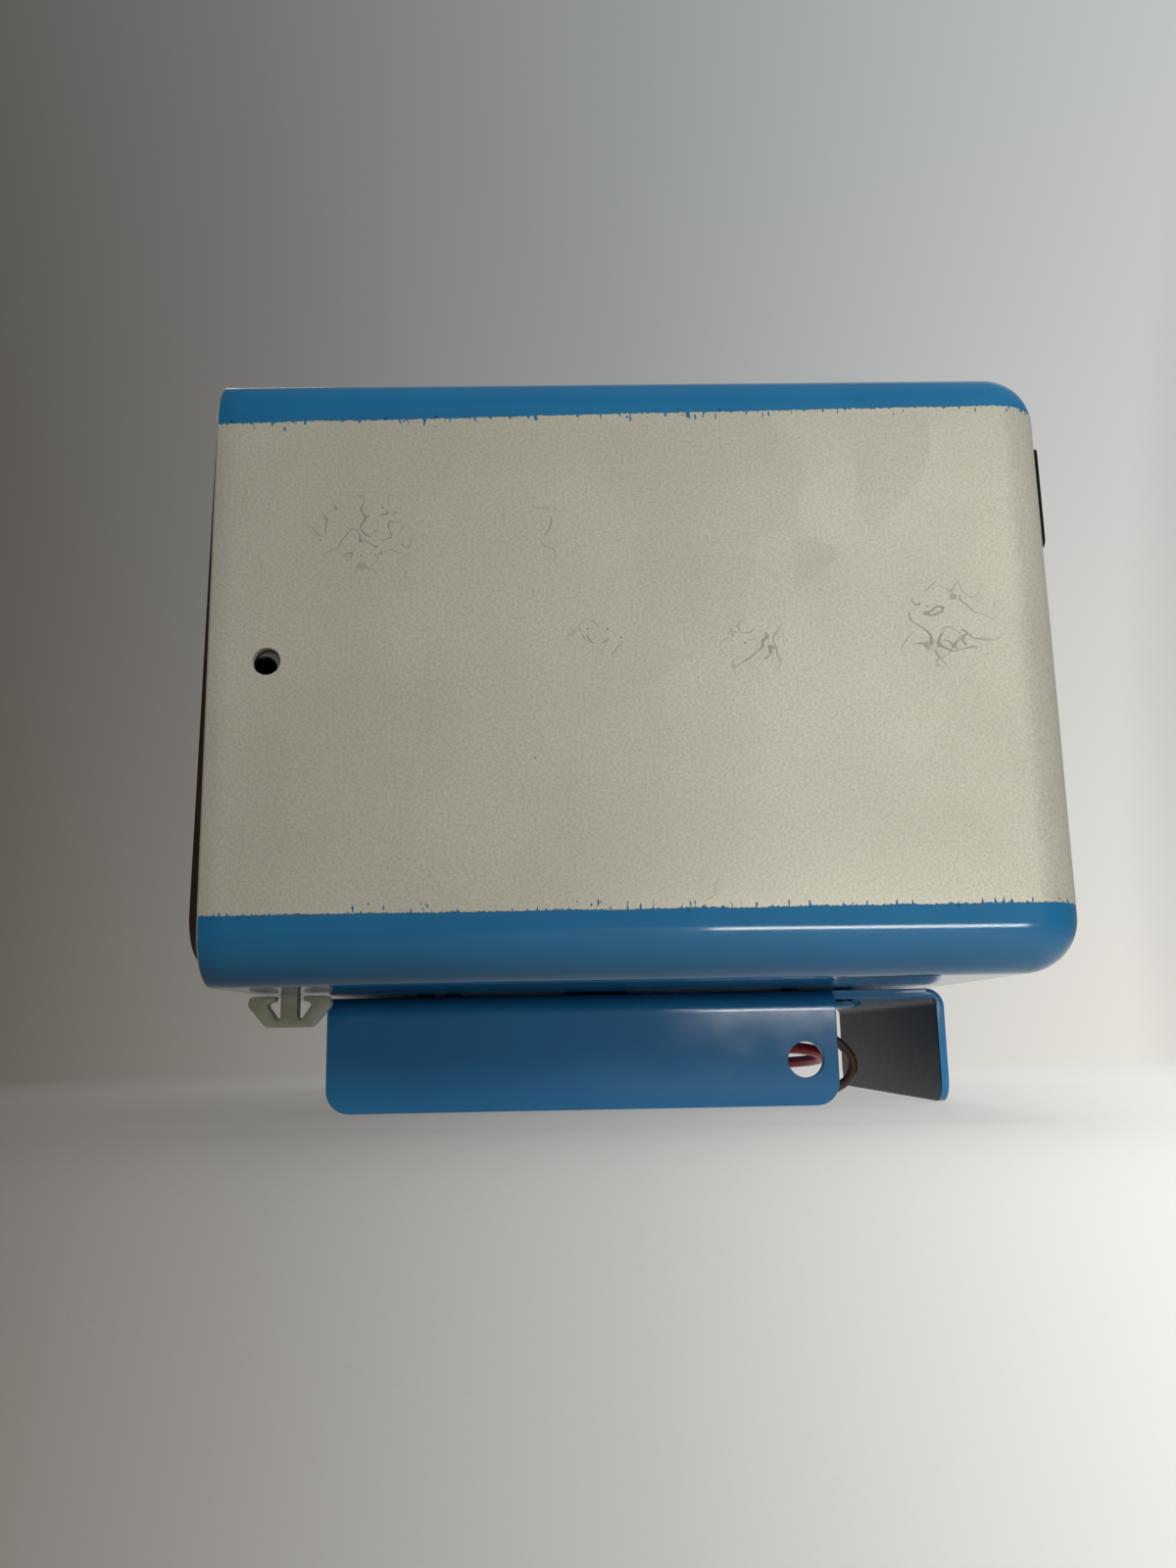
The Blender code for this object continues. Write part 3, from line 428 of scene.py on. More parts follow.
def backdropTone(tree, side):  # dim on the left, bright on the right; side runs from -1 to 1
    ramp = tree.nodes.new("ShaderNodeValToRGB")
    stops = studio["backdrop"]
    while len(ramp.color_ramp.elements) < len(stops):
        ramp.color_ramp.elements.new(0.5)
    for element, (position, colour) in zip(ramp.color_ramp.elements, stops):
        element.position = position
        element.color = (*colour, 1)
    tree.links.new(calc(tree, "MULTIPLY_ADD", side, 0.5, 0.5), ramp.inputs["Fac"])
    return ramp.outputs["Color"]


def addWorld():
    world = bpy.data.worlds.new("studioWorld")
    bpy.context.scene.world = world
    world.use_nodes = True
    tree = world.node_tree
    place = tree.nodes.new("ShaderNodeTexCoord")
    x, y, z = split(tree, place.outputs["Generated"])
    height = scaled(tree, band(tree, z, -0.35, 0.65), 1.12, 0.72)
    height = calc(tree, "MULTIPLY", height, scaled(tree, band(tree, y, -0.6, 0.2), 0.6, 1.0))
    height = calc(tree, "MULTIPLY", height, scaled(tree, band(tree, z, 0.7, 0.9), 1.0, 0.4))
    cool = mixed(tree, band(tree, z, 0.0, 0.7), (1.0, 0.985, 0.96), (0.95, 1.0, 1.04))
    tint = mixed(tree, 1.0, backdropTone(tree, x), cool, "MULTIPLY")
    backdrop = tree.nodes["Background"]
    tree.links.new(tint, backdrop.inputs["Color"])
    tree.links.new(height, backdrop.inputs["Strength"])


def addLights():
    for name, place, aim, width, height, brightness, colour, glossy, only in studio["lights"]:
        data = bpy.data.lights.new(name, "AREA")
        data.shape = "RECTANGLE"
        data.size = width
        data.size_y = height
        data.energy = brightness * math.pi * width * height
        data.color = colour
        light = bpy.data.objects.new(name, data)
        bpy.context.scene.collection.objects.link(light)
        light.location = place
        light.rotation_euler = (Vector(place) - Vector(aim)).to_track_quat("Z", "Y").to_euler()
        light.visible_camera = False
        light.visible_glossy = glossy
        light.visible_diffuse = only != "coverOnly"  # the cover's strip only shows as a glint
        if only:  # a glint for one piece's enamel
            light.light_linking.receiver_collection = litAlone[only]


def addFloor():
    bm = bmesh.new()
    half = studio["floorSize"]
    bmesh.ops.create_grid(bm, x_segments=8, y_segments=8, size=half)
    mesh = toMesh("studioFloor", bm)
    material, tree, shader = startMaterial("palePaperPaintedGlow")
    place = spots(tree)
    x, y, z = split(tree, place)
    far = calc(tree, "SQRT", calc(tree, "ADD", calc(tree, "POWER", x, 2.0), calc(tree, "POWER", y, 2.0)))
    fade = band(tree, far, studio["fadeFrom"] / mm, studio["fadeTo"] / mm)
    # painted light: the sheet's colour and its glow follow a gradient that fans out from the front standpoint, dim on
    # the left and bright on the right, and carries on into the backdrop
    across = calc(tree, "SUBTRACT", x, studio["standpoint"][0])
    ahead = calc(tree, "MAXIMUM", calc(tree, "SUBTRACT", y, studio["standpoint"][1]), 20.0)
    slope = calc(tree, "DIVIDE", across, ahead)
    side = calc(tree, "DIVIDE", slope, calc(tree, "SQRT", calc(tree, "MULTIPLY_ADD", slope, slope, 1.0)))
    tone = backdropTone(tree, side)
    feed(tree, shader.inputs["Base Color"], mixed(tree, 0.6, tone, (0.0, 0.0, 0.0)))
    feed(tree, shader.inputs["Emission Color"], tone)
    # painted light: the sheet glows with the same gradient though it is no lamp
    shader.inputs["Emission Strength"].default_value = 0.72
    shader.inputs["Roughness"].default_value = 0.75
    shader.inputs["Specular IOR Level"].default_value = 0.1
    feed(tree, shader.inputs["Normal"], relief(tree, noiseAt(tree, place, 0.8, 3), 0.05))
    clear = tree.nodes.new("ShaderNodeBsdfTransparent")
    blend = tree.nodes.new("ShaderNodeMixShader")
    tree.links.new(fade, blend.inputs[0])
    tree.links.new(shader.outputs[0], blend.inputs[1])
    tree.links.new(clear.outputs[0], blend.inputs[2])
    tree.links.new(blend.outputs[0], tree.nodes["Material Output"].inputs["Surface"])
    mesh.materials.append(material)
    floor = bpy.data.objects.new("studioFloor", mesh)
    bpy.context.scene.collection.objects.link(floor)
    floor.location = (0, 0, cadBox[0].z - 0.0002)


addWorld()
addLights()
addFloor()
bpy.context.scene.view_settings.view_transform = "Standard"
print("studio set")


# Cover: a drawn shell, blue enamel with a silver band masked round its sides and front

paint = {
    "blue": (0.012, 0.125, 0.27), "deepBlue": (0.010, 0.112, 0.248),
    "silver": (0.66, 0.645, 0.545), "dullSilver": (0.60, 0.585, 0.49), "bare": (0.30, 0.29, 0.27),
    "bandLow": 8.7, "bandHigh": 75.8, "bandRise": 1.7, "blueRough": 0.10, "silverRough": 0.46,
}
cover = {
    "length": 114.0, "width": 170.0, "height": 84.0, "radius": 7.3, "wall": 1.0, "grid": 3.0,
    "holeRadius": 1.85, "holeInset": 7.8, "holeHeight": 42.0, "wave": 0.05,
    # x, z, radius and depth of shallow dents in the left side
    "dents": [(44, 57, 9, 0.05), (71, 43, 8, 0.04), (101, 64, 12, 0.06), (20, 61, 12, 0.04)],
}
# x, z and radius of the scuffed patches on the left side
scuffs = [(20, 60, 9), (43, 59, 7), (52, 45, 5), (72, 43, 6), (97, 46, 10)]


def scuffMask(tree, x, y, z):
    total = None
    for cx, cz, radius in scuffs:
        dx = calc(tree, "DIVIDE", calc(tree, "SUBTRACT", x, cx), radius)
        dz = calc(tree, "DIVIDE", calc(tree, "SUBTRACT", z, cz), radius * 0.8)
        away = calc(tree, "SQRT", calc(tree, "ADD", calc(tree, "POWER", dx, 2.0), calc(tree, "POWER", dz, 2.0)))
        near = calc(tree, "SUBTRACT", 1.0, band(tree, away, 0.3, 1.1))
        total = near if total is None else calc(tree, "MAXIMUM", total, near)
    return calc(tree, "MULTIPLY", total, calc(tree, "LESS_THAN", y, 4.0))


def speckMask(tree, place, scale, size, keep):  # a few small round specks
    net = cells(tree, place, scale)
    chosen = calc(tree, "GREATER_THAN", split(tree, net.outputs["Color"])[0], keep)
    close = calc(tree, "LESS_THAN", net.outputs["Distance"], size)
    return calc(tree, "MULTIPLY", chosen, close)


def blueCoat(tree, place):  # colour, roughness and normal of the blue enamel
    tone = mixed(tree, band(tree, noiseAt(tree, place, 0.06, 3), 0.3, 0.7), paint["blue"], paint["deepBlue"])
    nicks = speckMask(tree, place, 0.13, 0.035, 0.72)
    tone = mixed(tree, nicks, tone, (0.01, 0.02, 0.03))
    gloss = scaled(tree, noiseAt(tree, place, 0.35, 4), paint["blueRough"] * 0.7, paint["blueRough"] * 1.5)
    peel = noiseAt(tree, place, 0.55, 2)
    dust = speckMask(tree, place, 0.5, 0.16, 0.8)
    height = calc(tree, "ADD", calc(tree, "MULTIPLY", peel, 0.4), calc(tree, "MULTIPLY", dust, 0.35))
    return tone, gloss, height


def coverPaint():
    material, tree, shader = startMaterial("coverEnamel")
    place = spots(tree)
    x, y, z = split(tree, place)
    # the masked line wanders a little and has small blue teeth standing into the silver
    wander = calc(tree, "MULTIPLY", calc(tree, "SUBTRACT", noiseAt(tree, place, 0.12, 2), 0.5), 0.5)
    hairs = noiseAt(tree, spots(tree, (1.0, 1.0, 0.35)), 1.9, 1, 0.5)
    teeth = calc(tree, "MULTIPLY", band(tree, hairs, 0.56, 0.74), 1.5)
    teeth = calc(tree, "MULTIPLY", teeth, band(tree, noiseAt(tree, place, 0.16, 2), 0.30, 0.60))
    ragged = calc(tree, "MULTIPLY", calc(tree, "SUBTRACT", noiseAt(tree, place, 2.2, 2), 0.5), 0.45)
    low = calc(tree, "SUBTRACT", calc(tree, "SUBTRACT", calc(tree, "ADD", z, wander), teeth), ragged)
    high = calc(tree, "ADD", calc(tree, "ADD", calc(tree, "ADD", z, wander), teeth), ragged)
    rise = calc(tree, "MULTIPLY", x, paint["bandRise"] / cover["length"])
    topLine = calc(tree, "ADD", rise, paint["bandHigh"])
    above = band(tree, low, paint["bandLow"] - 0.06, paint["bandLow"] + 0.06)
    below = band(tree, calc(tree, "SUBTRACT", topLine, high), -0.06, 0.06)
    silver = calc(tree, "MULTIPLY", above, below)
    # dark ragged rim where the two coats meet
    rim = calc(tree, "MULTIPLY", calc(tree, "MULTIPLY", silver, calc(tree, "SUBTRACT", 1.0, silver)), 4.0)
    crumbs = speckMask(tree, place, 0.9, 0.22, 0.7)
    nearLow = calc(tree, "SUBTRACT", 1.0, band(tree, calc(tree, "ABSOLUTE", calc(tree, "SUBTRACT", z, paint["bandLow"])), 0.2, 0.9))
    nearHigh = calc(tree, "SUBTRACT", 1.0, band(tree, calc(tree, "ABSOLUTE", calc(tree, "SUBTRACT", z, topLine)), 0.2, 0.9))
    crumbs = calc(tree, "MULTIPLY", crumbs, calc(tree, "MAXIMUM", nearLow, nearHigh))
    rim = calc(tree, "MAXIMUM", rim, crumbs)

    blue, blueGloss, blueHeight = blueCoat(tree, place)
    grain = noiseAt(tree, place, 2.6, 2, 0.6)
    broad = noiseAt(tree, place, 0.035, 4)
    metal = mixed(tree, band(tree, broad, 0.3, 0.7), paint["silver"], paint["dullSilver"])
    metal = mixed(tree, band(tree, grain, 0.32, 0.72), metal, mixed(tree, 0.3, metal, (0.25, 0.24, 0.21)))
    # fine curled scratches inside the scuffed patches, loose ones elsewhere
    patches = scuffMask(tree, x, y, z)
    lines = None
    for shift, scale in ((0.0, 0.20), (40.0, 0.27)):  # thin contours of two soft clouds
        moved = tree.nodes.new("ShaderNodeVectorMath")
        moved.inputs[1].default_value = (shift, shift, shift)
        tree.links.new(place, moved.inputs[0])
        away = calc(tree, "ABSOLUTE", calc(tree, "SUBTRACT", noiseAt(tree, moved.outputs[0], scale, 1, 0.4), 0.5))
        contour = calc(tree, "SUBTRACT", 1.0, band(tree, away, 0.004, 0.016))
        contour = calc(tree, "MULTIPLY", contour, band(tree, noiseAt(tree, moved.outputs[0], 0.22, 2), 0.50, 0.56))
        lines = contour if lines is None else calc(tree, "MAXIMUM", lines, contour)
    inPatch = calc(tree, "MULTIPLY", lines, patches)
    loose = calc(tree, "MULTIPLY", lines, band(tree, noiseAt(tree, place, 0.05, 2), 0.62, 0.74))
    scratches = calc(tree, "MAXIMUM", inPatch, calc(tree, "MULTIPLY", loose, 0.35))
    pits = calc(tree, "MULTIPLY", speckMask(tree, place, 1.1, 0.17, 0.86), band(tree, patches, 0.3, 0.8))
    specks = calc(tree, "MULTIPLY", speckMask(tree, place, 0.16, 0.022, 0.55), 0.7)
    marks = calc(tree, "MAXIMUM", calc(tree, "MULTIPLY", scratches, 0.5), calc(tree, "MULTIPLY", pits, 0.6))
    metal = mixed(tree, calc(tree, "MAXIMUM", marks, specks), metal, (0.13, 0.125, 0.11))
    coat = mixed(tree, silver, blue, metal)
    coat = mixed(tree, calc(tree, "MULTIPLY", rim, 0.65), coat, (0.008, 0.035, 0.07))
    rear = calc(tree, "SUBTRACT", 1.0, band(tree, calc(tree, "ADD", x, calc(tree, "MULTIPLY", grain, 0.3)), 0.25, 0.5))
    coat = mixed(tree, calc(tree, "MULTIPLY", rear, 0.7), coat, paint["bare"])
    feed(tree, shader.inputs["Base Color"], coat)
    silverGloss = scaled(tree, noiseAt(tree, place, 0.2, 4), paint["silverRough"] - 0.05, paint["silverRough"] + 0.08)
    gloss = calc(tree, "ADD", calc(tree, "MULTIPLY", silverGloss, silver), calc(tree, "MULTIPLY", blueGloss, calc(tree, "SUBTRACT", 1.0, silver)))
    feed(tree, shader.inputs["Roughness"], gloss)
    feed(tree, shader.inputs["Metallic"], calc(tree, "MULTIPLY", silver, 0.45))
    # grain, dents of the scratches and the step between the coats
    rough = calc(tree, "MULTIPLY", calc(tree, "MULTIPLY", grain, 1.0), silver)
    smooth = calc(tree, "MULTIPLY", calc(tree, "MULTIPLY", blueHeight, 0.12), calc(tree, "SUBTRACT", 1.0, silver))
    carved = calc(tree, "MULTIPLY", calc(tree, "ADD", scratches, calc(tree, "MULTIPLY", pits, 1.5)), -1.2)
    height = calc(tree, "ADD", calc(tree, "ADD", rough, smooth), calc(tree, "MULTIPLY", carved, silver))
    height = calc(tree, "SUBTRACT", height, calc(tree, "MULTIPLY", silver, 0.6))
    feed(tree, shader.inputs["Normal"], relief(tree, height, 0.03))
    return material


def bracketPaint():  # a brighter copy of the cover's blue as painted light, with painted shade, near black and rougher, inside the front flange
    material, tree, shader = startMaterial("bracketEnamel")
    place = spots(tree)
    x, y, z = split(tree, place)
    blue, gloss, height = blueCoat(tree, place)
    # painted shade: the front flange's inner face under the cover gets a near-black colour where only shade falls
    inside = calc(tree, "MULTIPLY", band(tree, x, 103.0, 105.5), calc(tree, "LESS_THAN", x, 106.4))
    inside = calc(tree, "MULTIPLY", inside, calc(tree, "LESS_THAN", z, -2.0))
    # painted light: the blue is lifted 1.4 times over the cover's enamel, standing in for light the bracket lacks under
    # the cover
    feed(tree, shader.inputs["Base Color"], mixed(tree, inside, mixed(tree, 1.0, blue, (1.4, 1.4, 1.45), "MULTIPLY"), (0.004, 0.009, 0.015)))
    feed(tree, shader.inputs["Roughness"], calc(tree, "ADD", gloss, calc(tree, "MULTIPLY", inside, 0.3)))
    feed(tree, shader.inputs["Normal"], relief(tree, height, 0.006))
    return material


coverEnamel = coverPaint()
bracketEnamel = bracketPaint()
bareSheet = plainFinish("bareSheet", (0.34, 0.35, 0.35), (0.24, 0.25, 0.26), (0.35, 0.55), 0.85, 0.5)


def rivetPlaces():
    near = bracket["inset"] + bracket["rivetMargin"]
    for x in (bracket["rear"] + bracket["rivetMargin"], bracket["front"] - bracket["rivetMargin"]):
        for y in (near, cover["width"] - near):
            yield x, y


def ripple(bm):  # slight waves of drawn sheet, and the dents
    bm.normal_update()
    for vert in bm.verts:
        place = vert.co / mm
        push = cover["wave"] * noise.noise(place * 0.035) + 0.3 * cover["wave"] * noise.noise(place * 0.11)
        if place.y < 1:
            for x, z, radius, depth in cover["dents"]:
                away = math.hypot(place.x - x, place.z - z) / radius
                if away < 1:
                    push -= depth * (1 - away * away) ** 2
        vert.co += vert.normal * push * mm


def makeCover():
    size = Vector((cover["length"], cover["width"], cover["height"])) * mm
    bm = bmesh.new()
    bmesh.ops.create_cube(bm, size=1.0)
    bmesh.ops.scale(bm, vec=size, verts=bm.verts)
    bmesh.ops.translate(bm, vec=size / 2, verts=bm.verts)
    rounded = [edge for edge in bm.edges if max(vert.co.x for vert in edge.verts) > size.x / 2]
    bmesh.ops.bevel(bm, geom=rounded, offset=cover["radius"] * mm, segments=14, profile=0.5, affect="EDGES")
    rear = [face for face in bm.faces if all(vert.co.x < 0.1 * mm for vert in face.verts)]
    bmesh.ops.delete(bm, geom=rear, context="FACES_ONLY")
    for axis in range(3):
        straight = Vector([1.0 if axis == other else 0.0 for other in range(3)])
        low, high = (0, size.x - cover["radius"] * mm) if axis == 0 else (cover["radius"] * mm, size[axis] - cover["radius"] * mm)
        count = round((high - low) / (cover["grid"] * mm))
        for step in range(1, count):
            geom = list(bm.verts) + list(bm.edges) + list(bm.faces)
            place = straight * (low + (high - low) * step / count)
            bmesh.ops.bisect_plane(bm, geom=geom, plane_co=place, plane_no=straight, dist=0.001 * mm)
    ripple(bm)
    piece = addPiece("coverShell", toMesh("coverShell", bm, 60), coverEnamel, ["cover"])
    piece.data.materials.append(bareSheet)
    wall = piece.modifiers.new("wall", "SOLIDIFY")
    wall.thickness = cover["wall"] * mm
    wall.offset = -1
    wall.use_even_offset = True
    wall.material_offset = 1
    softEdges(piece, 0.22, 2, 60)
    settle(piece)
    through = 8
    cutters = [
        bar((cover["holeInset"], 0, cover["holeHeight"]), (0, 1, 0), cover["holeRadius"], through),
        bar((cover["holeInset"], cover["width"], cover["holeHeight"]), (0, 1, 0), cover["holeRadius"], through),
        bar((grommet["x"], cover["width"] / 2, 0), (0, 0, 1), grommet["hole"], through),
        bar((snap["x"], snap["y"], 0), (0, 0, 1), snap["hole"], through),
        bar((cover["length"], cover["width"] / 2, button["height"]), (1, 0, 0), button["barrel"] + 0.3, through),
        bar((cover["length"], cover["width"] / 2 + lamp["offset"], button["height"]), (1, 0, 0), lamp["radius"] + 0.3, through),
    ]
    cutters += [bar((x, y, 0), (0, 0, 1), bracket["rivet"] + 0.3, through) for x, y in rivetPlaces()]
    carve(piece, cutters)
    litAlone["coverOnly"].objects.link(piece)


# Mounting bracket: a folded channel with three flanges

bracket = {
    "sheet": 1.4, "top": -0.3, "drop": 18.0, "bend": 2.9, "inset": 44.5, "rear": 8.4, "flangeEnd": 89.4,
    "front": 107.6, "corner": 3.7, "boltRadius": 2.8, "boltX": 84.2, "boltZ": -11.2,
    "rivet": 1.6, "rivetHead": 3.0, "rivetRise": 1.2, "rivetMargin": 14.0,
}
grommet = {"x": 52.0, "bore": 4.2, "hole": 6.3, "lip": 7.8, "rise": 1.7}
snap = {"x": 5.1, "y": 33.0, "depth": 3.0, "drop": 4.9, "span": 6.1, "tip": 3.6, "stem": 1.2, "hole": 1.9}
button = {"height": 32.0, "radius": 4.2, "proud": 2.4, "bezel": 8.0, "rise": 2.0, "barrel": 5.7, "barrelLength": 9.0}
lamp = {"offset": 40.0, "radius": 3.0, "flange": 4.2}


def sweepEdges(bm, edges, points, axis):
    made = list(edges)
    place = Vector((0, 0, 0))
    for point in points:
        step = (Vector(point) - place) * mm
        place = Vector(point)
        result = bmesh.ops.extrude_edge_only(bm, edges=made)
        verts = [item for item in result["geom"] if isinstance(item, bmesh.types.BMVert)]
        bmesh.ops.translate(bm, vec=step, verts=verts)
        made = [item for item in result["geom"] if isinstance(item, bmesh.types.BMEdge)]
        made = [edge for edge in made if abs((edge.verts[0].co - edge.verts[1].co).normalized()[axis]) > 0.9]
    return made


def foldDown(across, radius, drop, steps=10):
    points = []
    for step in range(1, steps + 1):
        angle = math.pi / 2 * step / steps
        points.append(Vector(across) * radius * math.sin(angle) - Vector((0, 0, radius * (1 - math.cos(angle)))))
    held = 0.3  # a narrow row that keeps the flange shaded flat
    points.append(points[-1] - Vector((0, 0, held)))
    points.append(points[-1] - Vector((0, 0, drop - radius - held)))
    return points


def makeBracket():
    bm = bmesh.new()
    lowY = bracket["inset"] + bracket["bend"]
    highY = cover["width"] - lowY
    corners = (
        (bracket["rear"], lowY), (bracket["flangeEnd"], lowY), (bracket["flangeEnd"], highY), (bracket["rear"], highY),
    )
    base = bm.faces.new([bm.verts.new((x * mm, y * mm, bracket["top"] * mm)) for x, y in corners])
    near, front, far, _ = base.edges
    nose = bracket["front"] - bracket["bend"] - bracket["flangeEnd"]
    edge = sweepEdges(bm, [front], [(nose, 0, 0)], 1)
    sweepEdges(bm, edge, foldDown((1, 0, 0), bracket["bend"], bracket["drop"]), 1)
    sweepEdges(bm, [near], foldDown((0, -1, 0), bracket["bend"], bracket["drop"]), 0)
    sweepEdges(bm, [far], foldDown((0, 1, 0), bracket["bend"], bracket["drop"]), 0)
    bottom = (bracket["top"] - bracket["drop"]) * mm
    tips = [vert for vert in bm.verts if vert.co.z < bottom + 0.1 * mm]
    bmesh.ops.bevel(bm, geom=tips, offset=bracket["corner"] * mm, segments=10, profile=0.5, affect="VERTICES")
    piece = addPiece("mountingBracket", toMesh("mountingBracket", bm), bracketEnamel, ["bracket"])
    sheet = piece.modifiers.new("sheet", "SOLIDIFY")
    sheet.thickness = bracket["sheet"] * mm
    sheet.offset = -1
    sheet.use_even_offset = True
    settle(piece)
    cutters = [
        bar((bracket["boltX"], y, bracket["boltZ"]), (0, 1, 0), bracket["boltRadius"], 8)
        for y in (bracket["inset"], cover["width"] - bracket["inset"])
    ]
    cutters.append(bar((grommet["x"], cover["width"] / 2, bracket["top"]), (0, 0, 1), grommet["hole"], 8))
    cutters += [bar((x, y, bracket["top"]), (0, 0, 1), bracket["rivet"] + 0.3, 8) for x, y in rivetPlaces()]
    carve(piece, cutters)
    softEdges(piece, 0.28, 3, 50)
    settle(piece, 60)
    evenShading(piece)
    litAlone["bracketOnly"].objects.link(piece)


def makeRivets():
    top = cover["wall"] + 0.3
    bottom = bracket["top"] - bracket["sheet"] - 0.3
    head = [(0, top + 1.2), (1.2, top + 1.15), (2.1, top + 0.8), (2.6, top + 0.3), (2.7, top), (bracket["rivet"], top)]
    dome = [
        (bracket["rivetHead"] * math.cos(math.radians(angle)), bottom - bracket["rivetRise"] * math.sin(math.radians(angle)))
        for angle in range(0, 91, 10)
    ]
    profile = head + [(bracket["rivet"], bottom)] + dome
    for number, (x, y) in enumerate(rivetPlaces(), 1):
        mesh = toMesh(f"rivet{number}", turned(profile, 40), 40)
        addPiece(
            f"rivet{number}", mesh, bracketEnamel, [f"bracket_rivet_{number}"],
            matrix=facing((x, y, 0), (0, 0, 1)),
        )


def makeGrommet():
    top = cover["wall"] + 0.3
    bottom = bracket["top"] - bracket["sheet"] - 0.3
    lip, bore, rise = grommet["lip"], grommet["bore"], grommet["rise"]
    half = rise / 2
    neck = grommet["hole"] - 0.3
    profile = list(arcPoints((bore + half, top + half), half, 180, 90, 5))
    profile += list(arcPoints((lip - half, top + half), half, 90, -90, 8)) + [(neck, top), (neck, bottom)]
    profile += list(arcPoints((lip - half, bottom - half), half, 90, -90, 8))
    profile += list(arcPoints((bore + half, bottom - half), half, 270, 180, 5))
    profile.append(profile[0])
    mesh = toMesh("cableGrommet", turned(profile, 64), 40)
    rubber = plainFinish("mouldedRubber", (0.018, 0.018, 0.018), (0.03, 0.029, 0.028), (0.55, 0.8), 0.0, 1.0, lift=0.04)
    addPiece(
        "cableGrommet", mesh, rubber, ["wire_grommet"],
        matrix=facing((grommet["x"], cover["width"] / 2, 0), (0, 0, 1)),
    )


makeCover()
makeBracket()
makeRivets()
makeGrommet()
print("cover and bracket made")


# Nylon snap fastener under the cover's rear corner

def nylon():
    material, tree, shader = startMaterial("agedNylon")
    place = spots(tree)
    cloud = noiseAt(tree, place, 0.35, 4)
    tone = mixed(tree, band(tree, cloud, 0.35, 0.65), (0.84, 0.84, 0.66), (0.72, 0.72, 0.52))
    feed(tree, shader.inputs["Base Color"], tone)
    feed(tree, shader.inputs["Roughness"], scaled(tree, noiseAt(tree, place, 1.5, 3), 0.28, 0.48))
    feed(tree, shader.inputs["Normal"], relief(tree, noiseAt(tree, place, 2.0, 2), 0.03))
    shader.inputs["Subsurface Weight"].default_value = 0.6
    shader.inputs["Subsurface Radius"].default_value = (1.0, 1.0, 0.6)
    shader.inputs["Subsurface Scale"].default_value = 0.002
    shader.inputs["Transmission Weight"].default_value = 0.25
    return material


def makeSnap():
    tip, span, drop, stem = snap["tip"], snap["span"], snap["drop"], snap["stem"]
    right = [
        (tip - 0.5, -drop), (tip, -drop + 0.3), (span - 0.15, -1.9), (span, -1.5), (span - 0.25, -0.5), (span - 0.7, -0.3),
        (2.3, -0.3), (2.05, -0.55), (2.3, -1.05), (span - 2.85, -1.35), (span - 2.8, -1.75), (2.0, -drop + 1.3),
        (stem + 0.35, -drop + 1.15), (stem, -drop + 1.5), (stem, cover["wall"] + 0.3),
    ]
    outline = right + [(-x, z) for x, z in reversed(right)]
    bm = bmesh.new()
    half = snap["depth"] / 2
    face = bm.faces.new([bm.verts.new((x * mm, -half * mm, z * mm)) for x, z in outline])
    pushed = bmesh.ops.extrude_face_region(bm, geom=[face])
    verts = [item for item in pushed["geom"] if isinstance(item, bmesh.types.BMVert)]
    bmesh.ops.translate(bm, vec=(0, snap["depth"] * mm, 0), verts=verts)
    place = (snap["x"], snap["y"], 0)
    piece = addPiece(
        "snapClip", toMesh("snapClip", bm), nylon(), ["snap_fastener"], matrix=facing(place, (0, 0, 1)),
    )
    softEdges(piece, 0.32, 3, 20)
    settle(piece)
    head = bar((snap["x"], snap["y"], cover["wall"] + 0.3 + 0.65), (0, 0, 1), 3.0, 1.4, 40, 2.4)
    carve(piece, [head], "UNION")
    softEdges(piece, 0.15, 2, 50)
    settle(piece)


makeSnap()
print("snap fastener made")


# Front end: nameplate strip, push button in its bezel, indicator lens

plate = {"low": 60.0, "high": 75.0, "thickness": 1.0, "margin": 8.0, "rib": 0.18}


def darkAnodised():
    material, tree, shader = startMaterial("darkTrim")
    place = spots(tree)
    x, y, z = split(tree, place)
    brushed = noiseAt(tree, spots(tree, (1, 0.02, 4)), 2.0, 3)
    middle = calc(tree, "ABSOLUTE", calc(tree, "SUBTRACT", y, cover["width"] / 2))
    ends = band(tree, middle, 62, 77)
    tone = mixed(tree, brushed, (0.045, 0.043, 0.042), (0.075, 0.072, 0.07))
    feed(tree, shader.inputs["Base Color"], mixed(tree, ends, tone, (0.008, 0.008, 0.009)))
    feed(tree, shader.inputs["Roughness"], scaled(tree, brushed, 0.28, 0.45))
    feed(tree, shader.inputs["Normal"], relief(tree, brushed, 0.01))
    shader.inputs["Metallic"].default_value = 0.6
    return material


